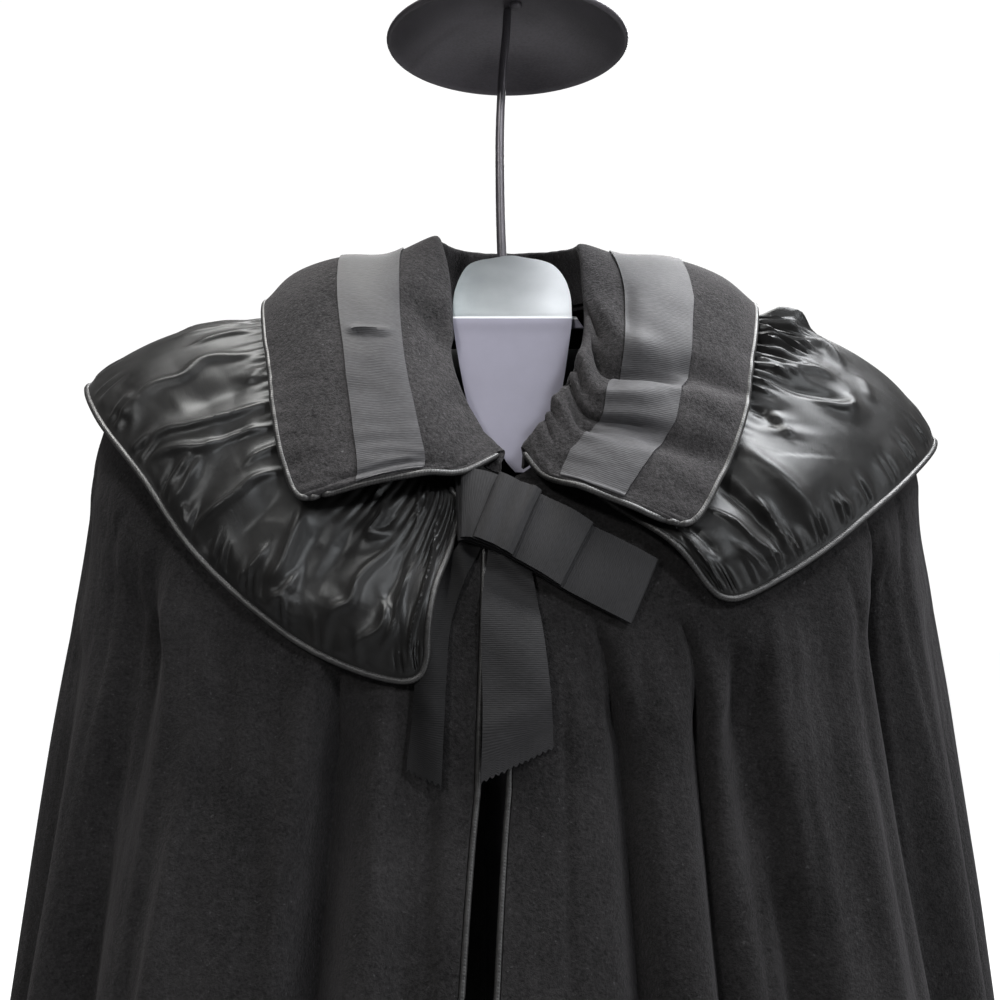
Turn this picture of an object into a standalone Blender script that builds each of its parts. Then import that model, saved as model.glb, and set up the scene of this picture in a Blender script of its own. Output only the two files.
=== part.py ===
"""Long wool cloak with a piped collar, a gathered satin ruffle and a ribbon bow, on a limbless stand.

Every cloth piece is a wall that follows one shoulder surface, which is worked out from the rings
below. A point on it has an angle round the neck (0 at the centre front, 90 at the wearer's left
shoulder, 180 at the centre back) and a level, which counts the rings from the neck to the hem.
"""

import math
from types import SimpleNamespace

import bmesh
import bpy
import numpy as np

MM = 0.001

# Cloth and trim thicknesses, in millimetres
WOOL = 2.2
SATIN = 1.0
RIBBON = 1.0
RIBBON_WIDTH = 36.0
PIPING_RADIUS = 1.7
PIPING_SIDES = 6
SEAM_GAP = 0.3
PIPING_GAP = 0.6  # between a cloth's edge and the cord sewn along it

# Rings of the shoulder surface, from the neck to the hem, in millimetres over the floor
RING_COLUMNS = (
    "half_width", "front_depth", "back_depth", "side_height", "front_height", "back_height", "squareness",
)
RINGS = {
    "neck": (58, 98, 62, 1420, 1302, 1426, 2.0),
    "collar": (100, 108, 84, 1418, 1281, 1417, 2.05),
    "yoke": (150, 117, 104, 1407, 1261, 1396, 2.15),
    "tip": (200, 125, 119, 1391, 1238, 1362, 2.3),
    "bend": (234, 131, 128, 1370, 1214, 1328, 2.4),
    "cap": (251, 136, 134, 1346, 1192, 1298, 2.45),
    "arm": (258, 141, 139, 1316, 1170, 1270, 2.45),
    "chest": (261, 148, 145, 1276, 1140, 1234, 2.4),
    "waist": (279, 168, 162, 1162, 1068, 1130, 2.3),
    "hip": (304, 200, 194, 975, 945, 970, 2.2),
    "knee": (348, 246, 238, 660, 650, 660, 2.1),
    "hem": (392, 300, 290, 322, 322, 322, 2.0),
}
HEIGHT_SHARPNESS = 1.6  # how quickly a ring drops from the shoulder to the front and the back

# Where the piped front edges run, in millimetres to the wearer's left of the middle
FRONT_EDGE_COLUMNS = ("level", "right_edge", "left_edge")
FRONT_EDGES = (
    (0.0, -10, 4),
    (4.0, -12, 4),
    (7.0, -14, 2),
    (8.2, -21, -4),
    (9.0, -32, -12),
    (10.0, -50, -22),
    (11.0, -76, -34),
)

# Troughs between the hanging folds: angles and half widths in degrees, depths in millimetres
FOLD_COLUMNS = ("top_angle", "hem_angle", "half_width", "chest_depth", "hem_depth", "start_level")
FOLDS = (
    (8.3, 14, 2.3, 12, 40, 3.0),
    (16.8, 23, 2.0, 10, 35, 3.6),
    (22.5, 32, 2.6, 13, 43, 3.8),
    (36, 43, 4.2, 2, 32, 7.8),
    (53, 56, 5.0, 14, 46, 5.0),
    (70, 71, 5.0, 3, 35, 7.2),
    (86, 85, 4.6, 9, 40, 5.6),
    (102, 101, 5.2, 5, 40, 6.6),
    (117, 118, 5.0, 11, 46, 5.6),
    (134, 133, 4.6, 6, 35, 6.4),
    (147, 149, 5.0, 12, 46, 5.0),
    (165, 164, 5.0, 7, 40, 5.6),
    (-179, -178, 4.6, 11, 43, 4.8),
    (-161, -162, 4.8, 6, 36, 6.2),
    (-145, -146, 5.2, 12, 46, 5.0),
    (-128, -130, 4.8, 6, 38, 6.4),
    (-113, -114, 5.0, 10, 43, 5.6),
    (-98, -97, 4.8, 5, 38, 6.8),
    (-82, -82, 4.6, 9, 40, 5.8),
    (-66, -67, 4.8, 3, 36, 7.4),
    (-50, -51, 4.6, 13, 43, 5.0),
    (-31, -33, 4.2, 2, 32, 7.8),
    (-13, -20, 2.9, 18, 45, 4.0),
    (-5.6, -9, 1.8, 5, 16, 4.4),
)
CHEST_LEVEL = 7.0
FOLD_TURN_LEVEL = 4.0
FOLD_FULL_LEVEL = 7.5
FOLD_SPREAD = 0.25  # how much wider a trough is at the hem
HEM_LEVEL = len(RINGS) - 1.0
HEM_SWELL = 18.0  # how far the ridges between the troughs stand out at the hem

# Body panels
SIDE_SEAM = 95.0
CENTRE_BACK = 180.0
PANEL_LEVELS = (0.0, 1.4, 2.8, 3.9, 4.7, 5.5, 6.4, 7.2, 7.9, 8.5, 9.1, 9.8, 10.4, 11.0)
FRONT_COLUMNS = 34
BACK_COLUMNS = 27
COLUMN_CROWDING = 1.25  # columns stand closer near the front edge, where the folds are narrow

# Collar: each section's angles are at the neck and at the free edge, and its level at the free edge;
# fan bends the line between them, stand and lean place the roll, and the lifts shape the fall
NECK_CENTRE = (0.0, -18.0, 0.0)
NECK_LEAN = 0.15
COLLAR_SEAM_RISE = 3.0
COLLAR_RISE_BULGE = 0.06
COLLAR_FALL_SHARES = (0.2, 0.5, 0.78, 1.0)
COLLAR_COLUMNS = (
    "neck_angle", "edge_angle", "edge_level", "fan", "stand", "lean",
    "lift_roll", "lift_middle", "lift_outer", "lift_edge",
)
COLLAR_SECTIONS = (
    (-2, -32, 2.48, 0.42, 12, 3, 14, 22, 23, 20),
    (-9, -34, 2.64, 0.5, 16, 7, 16, 22, 23, 20),
    (-22, -40, 2.50, 0.7, 20, 9, 19, 23, 23, 18),
    (-38, -51, 2.24, 0.9, 27, 7, 23, 25, 23, 16),
    (-60, -65, 2.03, 1.0, 35, 18, 28, 28, 25, 15),
    (-90, -90, 1.98, 1.0, 39, 14, 30, 30, 26, 15),
    (-120, -119, 2.0, 1.0, 38, 14, 30, 29, 25, 15),
    (-150, -149, 2.05, 1.0, 36, 10, 29, 28, 25, 15),
    (180, 180, 2.08, 1.0, 36, 8, 28, 28, 25, 15),
    (150, 149, 2.08, 1.0, 36, 8, 28, 28, 25, 15),
    (120, 119, 2.1, 1.0, 35, 10, 29, 29, 25, 15),
    (90, 90, 2.12, 1.0, 34, 9, 30, 30, 26, 15),
    (62, 66, 2.16, 1.0, 33, 1, 28, 28, 25, 15),
    (42, 52, 2.34, 0.9, 27, -12, 23, 25, 23, 16),
    (27, 38, 2.55, 0.8, 20, -8, 19, 23, 23, 18),
    (17, 29, 2.74, 0.9, 16, -7, 16, 22, 23, 20),
    (10, 26, 2.60, 0.62, 11, -6, 14, 22, 23, 20),
)
COLLAR_STATIONS = 38
COLLAR_CORNER_CROWDING = 0.035
COLLAR_STAND_STEPS = (0.0, 0.16, 0.32)
COLLAR_MIDDLE = (0.0, 0.0, 1250.0)

# The ribbon's two edges on the collar
RIBBON_EDGE_COLUMNS = ("station", "inner_step", "outer_step")
RIBBON_EDGES = (
    (0, 0.62, 0.85),
    (0.08, 0.53, 0.78),
    (0.25, 0.455, 0.71),
    (0.75, 0.455, 0.71),
    (0.92, 0.53, 0.77),
    (1, 0.58, 0.82),
)
RIBBON_END_INSET = 0.0015
RIBBON_CLEARANCE = 0.5

# Puckers across the collar, where it buckles over the wearer's left chest
PUCKER_COLUMNS = ("station", "half_width", "depth")
PUCKERS = (
    (0.795, 0.012, 5.0),
    (0.862, 0.012, 4.0),
)
PUCKER_DIRECTION = (0.0, -0.75, 0.66)

# Gathered ruffle under the collar
RUFFLE_COLUMNS = ("inner_angle", "outer_angle", "outer_level", "fan", "lift_near", "lift_far", "lift_edge")
RUFFLE_RIGHT = (
    (-19, -6.5, 4.66, 0.3, 4.5, 16, 9),
    (-24, -9.0, 4.95, 0.4, 4.5, 16, 8),
    (-32, -18.5, 4.78, 0.6, 4.5, 16, 8),
    (-42, -28.5, 4.50, 0.8, 5, 16, 8),
    (-52, -40, 4.33, 1.0, 5, 16, 9),
    (-62, -54, 4.2, 1.0, 5, 16, 13),
    (-76, -71, 4.46, 1.0, 5, 17, 21),
    (-90, -89, 4.66, 1.0, 5, 17, 27),
    (-110, -112, 4.85, 1.0, 5, 16, 19),
    (-135, -137, 4.75, 1.0, 5, 16, 11),
    (-158, -158, 4.8, 1.0, 5, 16, 10),
    (-180, -180, 4.85, 1.0, 5, 16, 10),
)
RUFFLE_LEFT = (
    (25, 24.5, 3.85, 1.0, 4.5, 16, 9),
    (29, 27.0, 4.14, 1.0, 4.5, 16, 8),
    (37, 34, 4.28, 1.0, 4.5, 16, 8),
    (46, 41, 4.42, 1.0, 5, 16, 8),
    (56, 51, 4.66, 1.0, 5, 16, 9),
    (66, 64, 5.08, 1.0, 5, 17, 13),
    (78, 77, 5.42, 1.0, 5, 18, 21),
    (90, 91, 5.62, 1.0, 5, 18, 26),
    (110, 112, 5.35, 1.0, 5, 17, 20),
    (135, 137, 5.0, 1.0, 5, 16, 12),
    (158, 158, 4.9, 1.0, 5, 16, 10),
    (180, 180, 4.85, 1.0, 5, 16, 10),
)
RUFFLE_INNER_LEVEL = 0.9
RUFFLE_INNER_LIFT = 2.7
RUFFLE_PIPING_FLOOR = 3.3  # least lift of the cord, which keeps it off the body cloth
RUFFLE_WAVES = 20
RUFFLE_UNEVENNESS = 0.9
RUFFLE_POINTS_PER_WAVE = 4
RUFFLE_STEPS = (0.0, 0.2, 0.45, 0.75, 1.0)
RUFFLE_WAVE_HEIGHTS = (0.0, 0.9, 4.4, 3.2, 0.0)
RUFFLE_CALM_END = 0.03  # share of a half at each end where its waves die away
RUFFLE_LAST_STATION = 0.9985

# Bow and its tails: its middle line starts at the right end, and falls by degrees below the horizontal
BOW_START = (-26.5, 1283.5)
BOW_FALL_COLUMNS = ("along", "fall")
BOW_FALLS = (
    (-29, -4),
    (-22, 4),
    (-13, 22),
    (12, 26),
    (40, 31),
    (48, 26),
    (84, 26),
)
BOW_FALL_POINTS = 114
BOW_LOOP_HALF_THICKNESS = 2.3
BOW_LOOP_SIDES = 22
BOW_LOOP_COLUMNS = ("right_reach", "left_reach", "lift")
BOW_LOOPS = {
    "bow_long_loop": (29, 82, 6.0),
    "bow_middle_loop": (26.5, 42, 10.9),
    "bow_knot": (12, 12, 15.8),
}
TAIL_ROWS = 12
TAIL_CURL = 1.2
TAIL_SLANTS = {"bow_left_tail": 17.0, "bow_right_tail": 8.0}  # how much higher the outer corner ends
TAIL_COLUMNS = ("height", "inner_x", "outer_x", "lift")
LEFT_TAIL = (
    (1285, -6, 6, 2.7),
    (1262, -9, 11, 2.7),
    (1244, -11, 16, 3.2),
    (1222, -12, 20, 6.5),
    (1190, -12, 23, 7),
    (1168, -12, 24, 7),
    (1146, -12, 25, 6),
)
RIGHT_TAIL = (
    (1284, -9, -15, 2.4),
    (1266, -12, -24, 2.4),
    (1250, -19, -35, 2.5),
    (1224, -28, -45.5, 5),
    (1196, -31, -47, 5),
    (1172, -32, -48.5, 5),
    (1150, -32, -50, 5),
)

# Display stand: a round foot, a pole, a limbless shoulder form, a neck plate, a rod and a head dome
BASE_RADIUS = 170.0
BASE_HEIGHT = 10.0
BASE_CHAMFER = 2.5
BASE_SIDES = 48
POLE_RADIUS = 12.5
POLE_SIDES = 16
POLE_FLANGE = ((26.0, 0.0), (26.0, 5.0), (16.0, 8.0), (POLE_RADIUS, 8.0))  # radius and height
FORM_CENTRE = (0.0, -5.0)
FORM_SIDES = 28
FORM_BOTTOM = 1165.0
FORM_CLEARANCE = 3.5
FORM_TOP = 1388.0
FORM_FRONT_CLEARANCE = 26.0
FORM_RING_COLUMNS = ("level", "extra_room", "scale", "flatness", "flat_height")
FORM_RINGS = (
    (0.5, 6, 0.3, 1.0, FORM_TOP),
    (0.5, 6, 0.5, 0.92, FORM_TOP),
    (0.5, 4, 0.78, 0.55, FORM_TOP),
    (0.5, 1, 0.95, 0.12, FORM_TOP),
    (0.9, 0, 1.0, 0.0, FORM_TOP),
    (1.6, 0, 1.0, 0.0, FORM_TOP),
    (2.4, 0, 1.0, 0.0, FORM_TOP),
    (3.2, 0, 1.0, 0.0, FORM_TOP),
    (3.9, 0, 1.0, 0.0, FORM_TOP),
    (4.4, 1.5, 1.0, 0.0, FORM_BOTTOM),
    (4.7, 4, 0.99, 0.12, FORM_BOTTOM),
    (4.7, 6, 0.93, 0.45, FORM_BOTTOM),
    (4.7, 6, 0.78, 0.85, FORM_BOTTOM),
    (4.7, 6, 0.6, 1.0, FORM_BOTTOM),
)
ROD_RADIUS = 3.0
ROD_SIDES = 10
ROD_SWAY_COLUMNS = ("height", "x")
ROD_SWAY = ((1400, 0.0), (1440, -1.0), (1480, -2.3), (1530, -2.7), (1570, -1.0), (1595, 1.2))
DOME_CENTRE_X = 2.3
DOME_SIDES = 30
DOME_RING_SHARES = (0.35, 0.65, 0.87, 1.0)
DOME_ROUNDNESS = 2.4
DOME_RIM_LIP = (1.2, -0.8)
DOME_RIM_RADIUS = 78.0
DOME_RIM_HEIGHT = 1589.0
DOME_RISE = 25.0
DOME_WALL = 2.4
PLATE_THICKNESS = 2.0
PLATE_CROWN = (1.5, 1.0, 0.4)  # how far the middle of the top rows rises above their ends
PLATE_COLUMNS = ("height", "half_width", "centre_x", "y")
PLATE_OUTLINE = (
    (1446.0, 9.0, 4.0, -12.5),
    (1444.0, 20.0, 4.0, -14.0),
    (1439.5, 28.0, 4.4, -17.5),
    (1430.0, 33.5, 5.0, -24.0),
    (1417.0, 36.5, 5.0, -34.0),
    (1402.0, 36.5, 5.0, -45.0),
    (1389.5, 35.2, 5.0, -49.0),
    (1363.5, 30.8, 5.2, -57.5),
    (1344.5, 26.6, 5.6, -63.5),
    (1329.0, 20.5, 6.4, -68.5),
    (1319.0, 12.0, 8.6, -71.5),
    (1311.0, 7.5, 9.4, -74.0),
    (1306.0, 3.0, 9.4, -75.5),
)
BAR_TOP, BAR_BOTTOM = 1403.5, 1396.0
BAR_LEFT_END, BAR_RIGHT_END = 44.5, -24.0
BAR_SLANT = 5.0
BAR_FRONT, BAR_BACK = -42.35, -38.35
BAR_STEM = 7.0

# Colours, roughness and metallic values
FINISHES = {
    "wool": ((0.012, 0.012, 0.013, 1), 0.95, 0.0),
    "satin": ((0.013, 0.012, 0.012, 1), 0.25, 0.0),
    "ribbon": ((0.055, 0.055, 0.058, 1), 0.7, 0.0),
    "black_metal": ((0.02, 0.018, 0.018, 1), 0.35, 0.8),
    "pale_metal": ((0.62, 0.62, 0.68, 1), 0.4, 0.9),
    "form": ((0.01, 0.01, 0.01, 1), 0.9, 0.0),
}


def column(rows, names, name):
    """One named column of a table, as an array."""
    return np.array([row[names.index(name)] for row in rows], float)


def smooth_read(values, position):
    """Catmull-Rom reading of evenly spaced values (first axis) at any position, as an array."""
    values = np.asarray(values, float)
    position = np.asarray(position, float)
    last = len(values) - 1
    i = np.clip(np.floor(position).astype(int), 0, last - 1)
    t = position - i
    t = t.reshape(t.shape + (1,) * (values.ndim - 1))
    b, c = values[i], values[i + 1]
    at_start = (i > 0).reshape(t.shape)
    at_end = (i < last - 1).reshape(t.shape)
    a = np.where(at_start, values[np.maximum(i - 1, 0)], 2 * b - c)
    d = np.where(at_end, values[np.minimum(i + 2, last)], 2 * c - b)
    return 0.5 * (2 * b + (c - a) * t + (2 * a - 5 * b + 4 * c - d) * t**2 + (3 * b - a - 3 * c + d) * t**3)


def read_table(rows, names, place):
    """Every column of a table, read smoothly at a place that runs from 0 to 1 down its rows."""
    values = np.array(rows, float)
    for k, name in enumerate(names):
        if name.endswith("angle"):
            values[:, k] = np.degrees(np.unwrap(np.radians(values[:, k])))
    read = smooth_read(values, np.asarray(place, float) * (len(rows) - 1))
    return SimpleNamespace(**{name: read[..., k] for k, name in enumerate(names)})


def smooth_step(x):
    x = np.clip(x, 0, 1)
    return x * x * (3 - 2 * x)


def unit(v):
    return v / np.linalg.norm(v, axis=-1, keepdims=True)


def ring_at(level):
    """The ring of the shoulder surface at a level."""
    return read_table(list(RINGS.values()), RING_COLUMNS, np.asarray(level, float) / HEM_LEVEL)


def surface(angle, level):
    """Point of the smooth shoulder surface, in millimetres."""
    angle, level = np.broadcast_arrays(np.asarray(angle, float), np.asarray(level, float))
    ring = ring_at(level)
    turn = np.radians(angle)
    sine, cosine = np.sin(turn), np.cos(turn)
    power = 2 / ring.squareness
    x = ring.half_width * np.sign(sine) * np.abs(sine) ** power
    y = np.where(cosine > 0, -ring.front_depth, ring.back_depth) * np.abs(cosine) ** power
    end_height = np.where(cosine > 0, ring.front_height, ring.back_height)
    rise = (end_height - ring.side_height) * np.abs(cosine) ** HEIGHT_SHARPNESS
    return np.stack([x, y, ring.side_height + rise], -1)


def fold_relief(angle, level):
    """How far the hanging folds move the body cloth outward, in millimetres."""
    angle, level = np.broadcast_arrays(np.asarray(angle, float), np.asarray(level, float))
    down = smooth_step((level - CHEST_LEVEL) / (HEM_LEVEL - CHEST_LEVEL))
    total = HEM_SWELL * down
    for row in FOLDS:
        fold = SimpleNamespace(**dict(zip(FOLD_COLUMNS, row)))
        turned = np.clip((level - FOLD_TURN_LEVEL) / (HEM_LEVEL - FOLD_TURN_LEVEL), 0, 1)
        middle = fold.top_angle + (fold.hem_angle - fold.top_angle) * turned
        away = (angle - middle + 180) % 360 - 180
        fade_in = smooth_step((level - fold.start_level) / (FOLD_FULL_LEVEL - fold.start_level))
        depth = (fold.chest_depth + (fold.hem_depth - fold.chest_depth) * down) * fade_in
        spread = fold.half_width * (1 + FOLD_SPREAD * down)
        total = total - depth * np.exp(-((away / spread) ** 2))
    return total


def normal_of(shape, a, b, step_a, step_b):
    """Unit normal of a surface function of two parameters, by small steps."""
    along_a = shape(a + step_a, b) - shape(a - step_a, b)
    along_b = shape(a, b + step_b) - shape(a, b - step_b)
    return unit(np.cross(along_a, along_b))


def outward(angle, level):
    """Unit normal of the smooth shoulder surface, away from the body."""
    return -normal_of(surface, angle, np.asarray(level, float), 0.05, 0.01)


def lifted(angle, level, lift):
    """Point that many millimetres above the smooth shoulder surface."""
    return surface(angle, level) + outward(angle, level) * np.asarray(lift, float)[..., None]


def body_shape(angle, level):
    """Middle of the body cloth with its folds."""
    return lifted(angle, level, fold_relief(angle, level))


def edge_angle(level, name, inset=0.0):
    """Angle of a front edge, with an inset away from the opening in millimetres."""
    levels = column(FRONT_EDGES, FRONT_EDGE_COLUMNS, "level")
    x = np.interp(level, levels, column(FRONT_EDGES, FRONT_EDGE_COLUMNS, name))
    x = x + (inset if name == "left_edge" else -inset)
    ring = ring_at(level)
    sine = np.clip(np.abs(x) / ring.half_width, 0, 1) ** (ring.squareness / 2)
    return np.sign(x) * np.degrees(np.arcsin(sine))


def locate_front(x, z):
    """Angle and level of the front point of the smooth surface with this x and z, by Newton steps."""
    x, z = np.broadcast_arrays(np.asarray(x, float), np.asarray(z, float))
    angle = np.degrees(np.arcsin(np.clip(x / RINGS["arm"][0], -0.9, 0.9)))
    level = np.full(x.shape, 2.0)
    small_angle, small_level = 0.05, 0.01
    for _ in range(30):
        here = surface(angle, level)
        by_angle = (surface(angle + small_angle, level) - here) / small_angle
        by_level = (surface(angle, level + small_level) - here) / small_level
        miss_x, miss_z = x - here[..., 0], z - here[..., 2]
        det = by_angle[..., 0] * by_level[..., 2] - by_level[..., 0] * by_angle[..., 2]
        turn = (miss_x * by_level[..., 2] - by_level[..., 0] * miss_z) / det
        drop = (by_angle[..., 0] * miss_z - miss_x * by_angle[..., 2]) / det
        angle = angle + np.clip(turn, -8, 8)
        level = np.clip(level + np.clip(drop, -1, 1), 0, HEM_LEVEL)
    return angle, level


def off_edge(rim, inside, distance):
    """A line that runs beside an edge, a distance outside it in the cloth's own plane."""
    along = unit(np.gradient(rim, axis=0))
    away = rim - inside
    away = unit(away - along * np.sum(away * along, -1, keepdims=True))
    return rim + away * distance


def round_corner(first, second, corner):
    """Two edge lines joined by the point where they would meet at a square corner."""
    meeting = first[-1] + second[0] - corner
    return np.concatenate([first[:-1], [meeting], second[1:]])


def new_object(name, points, faces, finish):
    """A named object from points in millimetres, with its faces turned outward."""
    mesh = bpy.data.meshes.new(name)
    mesh.from_pydata([tuple(p) for p in np.asarray(points, float) * MM], [], faces)
    shaped = bmesh.new()
    shaped.from_mesh(mesh)
    bmesh.ops.recalc_face_normals(shaped, faces=shaped.faces)
    if shaped.calc_volume(signed=True) < 0:
        bmesh.ops.reverse_faces(shaped, faces=shaped.faces)
    shaped.to_mesh(mesh)
    shaped.free()
    mesh.shade_smooth()
    mesh.set_sharp_from_angle(angle=math.radians(40))
    mesh.materials.append(material(finish))
    made = bpy.data.objects.new(name, mesh)
    bpy.context.scene.collection.objects.link(made)
    return made


def material(finish):
    """The Principled material of a finish, made once."""
    found = bpy.data.materials.get(finish)
    if found:
        return found
    colour, roughness, metallic = FINISHES[finish]
    made = bpy.data.materials.new(finish)
    made.use_nodes = True
    shader = made.node_tree.nodes["Principled BSDF"]
    shader.inputs["Base Color"].default_value = colour
    shader.inputs["Roughness"].default_value = roughness
    shader.inputs["Metallic"].default_value = metallic
    return made


def wall(name, middle, normals, thickness, finish):
    """A closed cloth wall from a grid of middle points and their normals."""
    rows, columns = middle.shape[:2]
    outer = middle + normals * thickness / 2
    inner = middle - normals * thickness / 2
    points = np.concatenate([outer.reshape(-1, 3), inner.reshape(-1, 3)])
    half = rows * columns

    def at(row, col, side=0):
        return side * half + row * columns + col

    faces = []
    for r in range(rows - 1):
        for c in range(columns - 1):
            faces.append((at(r, c), at(r, c + 1), at(r + 1, c + 1), at(r + 1, c)))
            faces.append((at(r, c, 1), at(r + 1, c, 1), at(r + 1, c + 1, 1), at(r, c + 1, 1)))
    for c in range(columns - 1):
        faces.append((at(0, c), at(0, c, 1), at(0, c + 1, 1), at(0, c + 1)))
        faces.append((at(rows - 1, c), at(rows - 1, c + 1), at(rows - 1, c + 1, 1), at(rows - 1, c, 1)))
    for r in range(rows - 1):
        for c in (0, columns - 1):
            faces.append((at(r, c), at(r + 1, c), at(r + 1, c, 1), at(r, c, 1)))
    return new_object(name, points, faces, finish)


def tube(name, path, radius, sides, finish):
    """A closed round tube along a path, its section carried without twist."""
    path = np.asarray(path, float)
    along = unit(np.gradient(path, axis=0))
    across = unit(np.cross(along[0], (0.3, 0.2, 1.0)))
    rings = []
    for point, direction in zip(path, along):
        across = unit(across - direction * np.dot(across, direction))
        other = np.cross(direction, across)
        turns = np.arange(sides) * 2 * np.pi / sides
        rings.append(point + radius * (np.cos(turns)[:, None] * across + np.sin(turns)[:, None] * other))
    faces = [tuple(range(sides))[::-1], tuple((len(path) - 1) * sides + k for k in range(sides))]
    for r in range(len(path) - 1):
        for k in range(sides):
            n = (k + 1) % sides
            faces.append((r * sides + k, r * sides + n, (r + 1) * sides + n, (r + 1) * sides + k))
    return new_object(name, np.concatenate(rings), faces, finish)


def ring_solid(name, rings, finish):
    """A closed solid through rings of points, with flat ends."""
    sides = len(rings[0])
    points = [p for ring in rings for p in ring]
    faces = []
    for r in range(len(rings) - 1):
        for k in range(sides):
            n = (k + 1) % sides
            faces.append((r * sides + k, r * sides + n, (r + 1) * sides + n, (r + 1) * sides + k))
    faces.append(tuple(range(sides))[::-1])
    faces.append(tuple((len(rings) - 1) * sides + k for k in range(sides)))
    return new_object(name, points, faces, finish)


def make_body():
    """Two fronts and two backs, with seams at the sides and the centre back."""
    levels = np.array(PANEL_LEVELS)[:, None]
    ring = ring_at(levels)
    trim = PIPING_RADIUS + PIPING_GAP
    side_gap = np.degrees(SEAM_GAP / 2 / ring.front_depth)
    back_gap = np.degrees(SEAM_GAP / 2 / ring.half_width)
    for side, sign in (("right", -1), ("left", 1)):
        start = edge_angle(levels, f"{side}_edge", trim)
        share = np.linspace(0, 1, FRONT_COLUMNS) ** COLUMN_CROWDING
        make_panel(f"{side}_front", start + (sign * (SIDE_SEAM - side_gap) - start) * share, levels)
        start = sign * (SIDE_SEAM + side_gap)
        share = np.linspace(0, 1, BACK_COLUMNS)
        make_panel(f"{side}_back", start + (sign * (CENTRE_BACK - back_gap) - start) * share, levels)


def make_panel(name, angles, levels):
    levels = np.broadcast_to(levels, angles.shape)
    normals = -normal_of(body_shape, angles, levels, 0.05, 0.01)
    wall(name, body_shape(angles, levels), normals, WOOL, "wool")


def make_front_piping():
    """Satin cord down each front edge, just off the cloth's edge."""
    levels = np.array(PANEL_LEVELS)
    for side in ("right", "left"):
        angles = edge_angle(levels, f"{side}_edge")
        tube(f"{side}_front_piping", body_shape(angles, levels), PIPING_RADIUS, PIPING_SIDES, "satin")


def neck_inward(angle):
    """Level direction from the neck seam towards the middle of the neck."""
    return -unit(surface(angle, 0.0) * (1, 1, 0) - NECK_CENTRE)


def collar_shape(station, step):
    """Middle of the collar: station 0 to 1 from right tip to left tip, step 0 to 1 from seam to edge."""
    station, step = np.broadcast_arrays(np.asarray(station, float), np.asarray(step, float))
    row = read_table(COLLAR_SECTIONS, COLLAR_COLUMNS, np.clip(station, -0.02, 1.02))
    up = np.array((0.0, 0.0, 1.0))
    inward = neck_inward(row.neck_angle)
    seam = surface(row.neck_angle, 0.0) + unit(up + inward * NECK_LEAN) * COLLAR_SEAM_RISE
    roll = seam + up * row.stand[..., None] + inward * row.lean[..., None]
    rising = (seam + roll) / 2 - inward * (COLLAR_RISE_BULGE * row.stand)[..., None]
    fall = []
    lifts = (row.lift_roll, row.lift_middle, row.lift_outer, row.lift_edge)
    for share, lift in zip(COLLAR_FALL_SHARES, lifts):
        angle = row.neck_angle + (row.edge_angle - row.neck_angle) * share**row.fan
        fall.append(lifted(angle, row.edge_level * share, lift))
    knots = np.stack([seam, rising, roll, *fall])
    point = read_knots(knots, step * (len(knots) - 1))
    sag = np.zeros(station.shape)
    for line in PUCKERS:
        pucker = SimpleNamespace(**dict(zip(PUCKER_COLUMNS, line)))
        sag = sag + pucker.depth * np.exp(-(((station - pucker.station) / pucker.half_width) ** 2))
    sag = sag * smooth_step((step - 0.35) / 0.15) * smooth_step((1.15 - step) / 0.3)
    return point - np.array(PUCKER_DIRECTION) * sag[..., None]


def read_knots(knots, place):
    """Catmull-Rom reading of knots (first axis) whose other axes match the place array."""
    last = len(knots) - 1
    i = np.clip(np.floor(place).astype(int), 0, last - 1)
    t = (place - i)[..., None]

    def pick(k):
        return np.take_along_axis(knots, np.broadcast_to(k[None, ..., None], (1, *knots.shape[1:])), 0)[0]

    b, c = pick(i), pick(i + 1)
    a = np.where((i > 0)[..., None], pick(np.maximum(i - 1, 0)), 2 * b - c)
    d = np.where((i < last - 1)[..., None], pick(np.minimum(i + 2, last)), 2 * c - b)
    return 0.5 * (2 * b + (c - a) * t + (2 * a - 5 * b + 4 * c - d) * t**2 + (3 * b - a - 3 * c + d) * t**3)


def collar_normal(station, step):
    return normal_of(collar_shape, np.asarray(station, float), np.asarray(step, float), 0.002, 0.01)


def collar_stations(count):
    """Stations that stand closer at the front corners."""
    even = np.linspace(0, 1, count)
    return even - COLLAR_CORNER_CROWDING * np.sin(4 * np.pi * even) / np.pi


def collar_grid():
    """Stations and steps of the collar's points, with a row along each edge of the ribbon."""
    stations = collar_stations(COLLAR_STATIONS)
    at = column(RIBBON_EDGES, RIBBON_EDGE_COLUMNS, "station")
    inner = np.interp(stations, at, column(RIBBON_EDGES, RIBBON_EDGE_COLUMNS, "inner_step"))
    outer = np.interp(stations, at, column(RIBBON_EDGES, RIBBON_EDGE_COLUMNS, "outer_step"))
    stand = [np.full(COLLAR_STATIONS, step) for step in COLLAR_STAND_STEPS]
    edge = np.ones(COLLAR_STATIONS)
    steps = np.stack([*stand, inner, (inner + outer) / 2, outer, (outer + edge) / 2, edge], -1)
    return np.broadcast_to(stations[:, None], steps.shape), steps


def make_collar():
    """Wool collar that rises from the neck, rolls over and falls to its edge."""
    stations, steps = collar_grid()
    wall("collar", collar_shape(stations, steps), collar_normal(stations, steps), WOOL, "wool")


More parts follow.
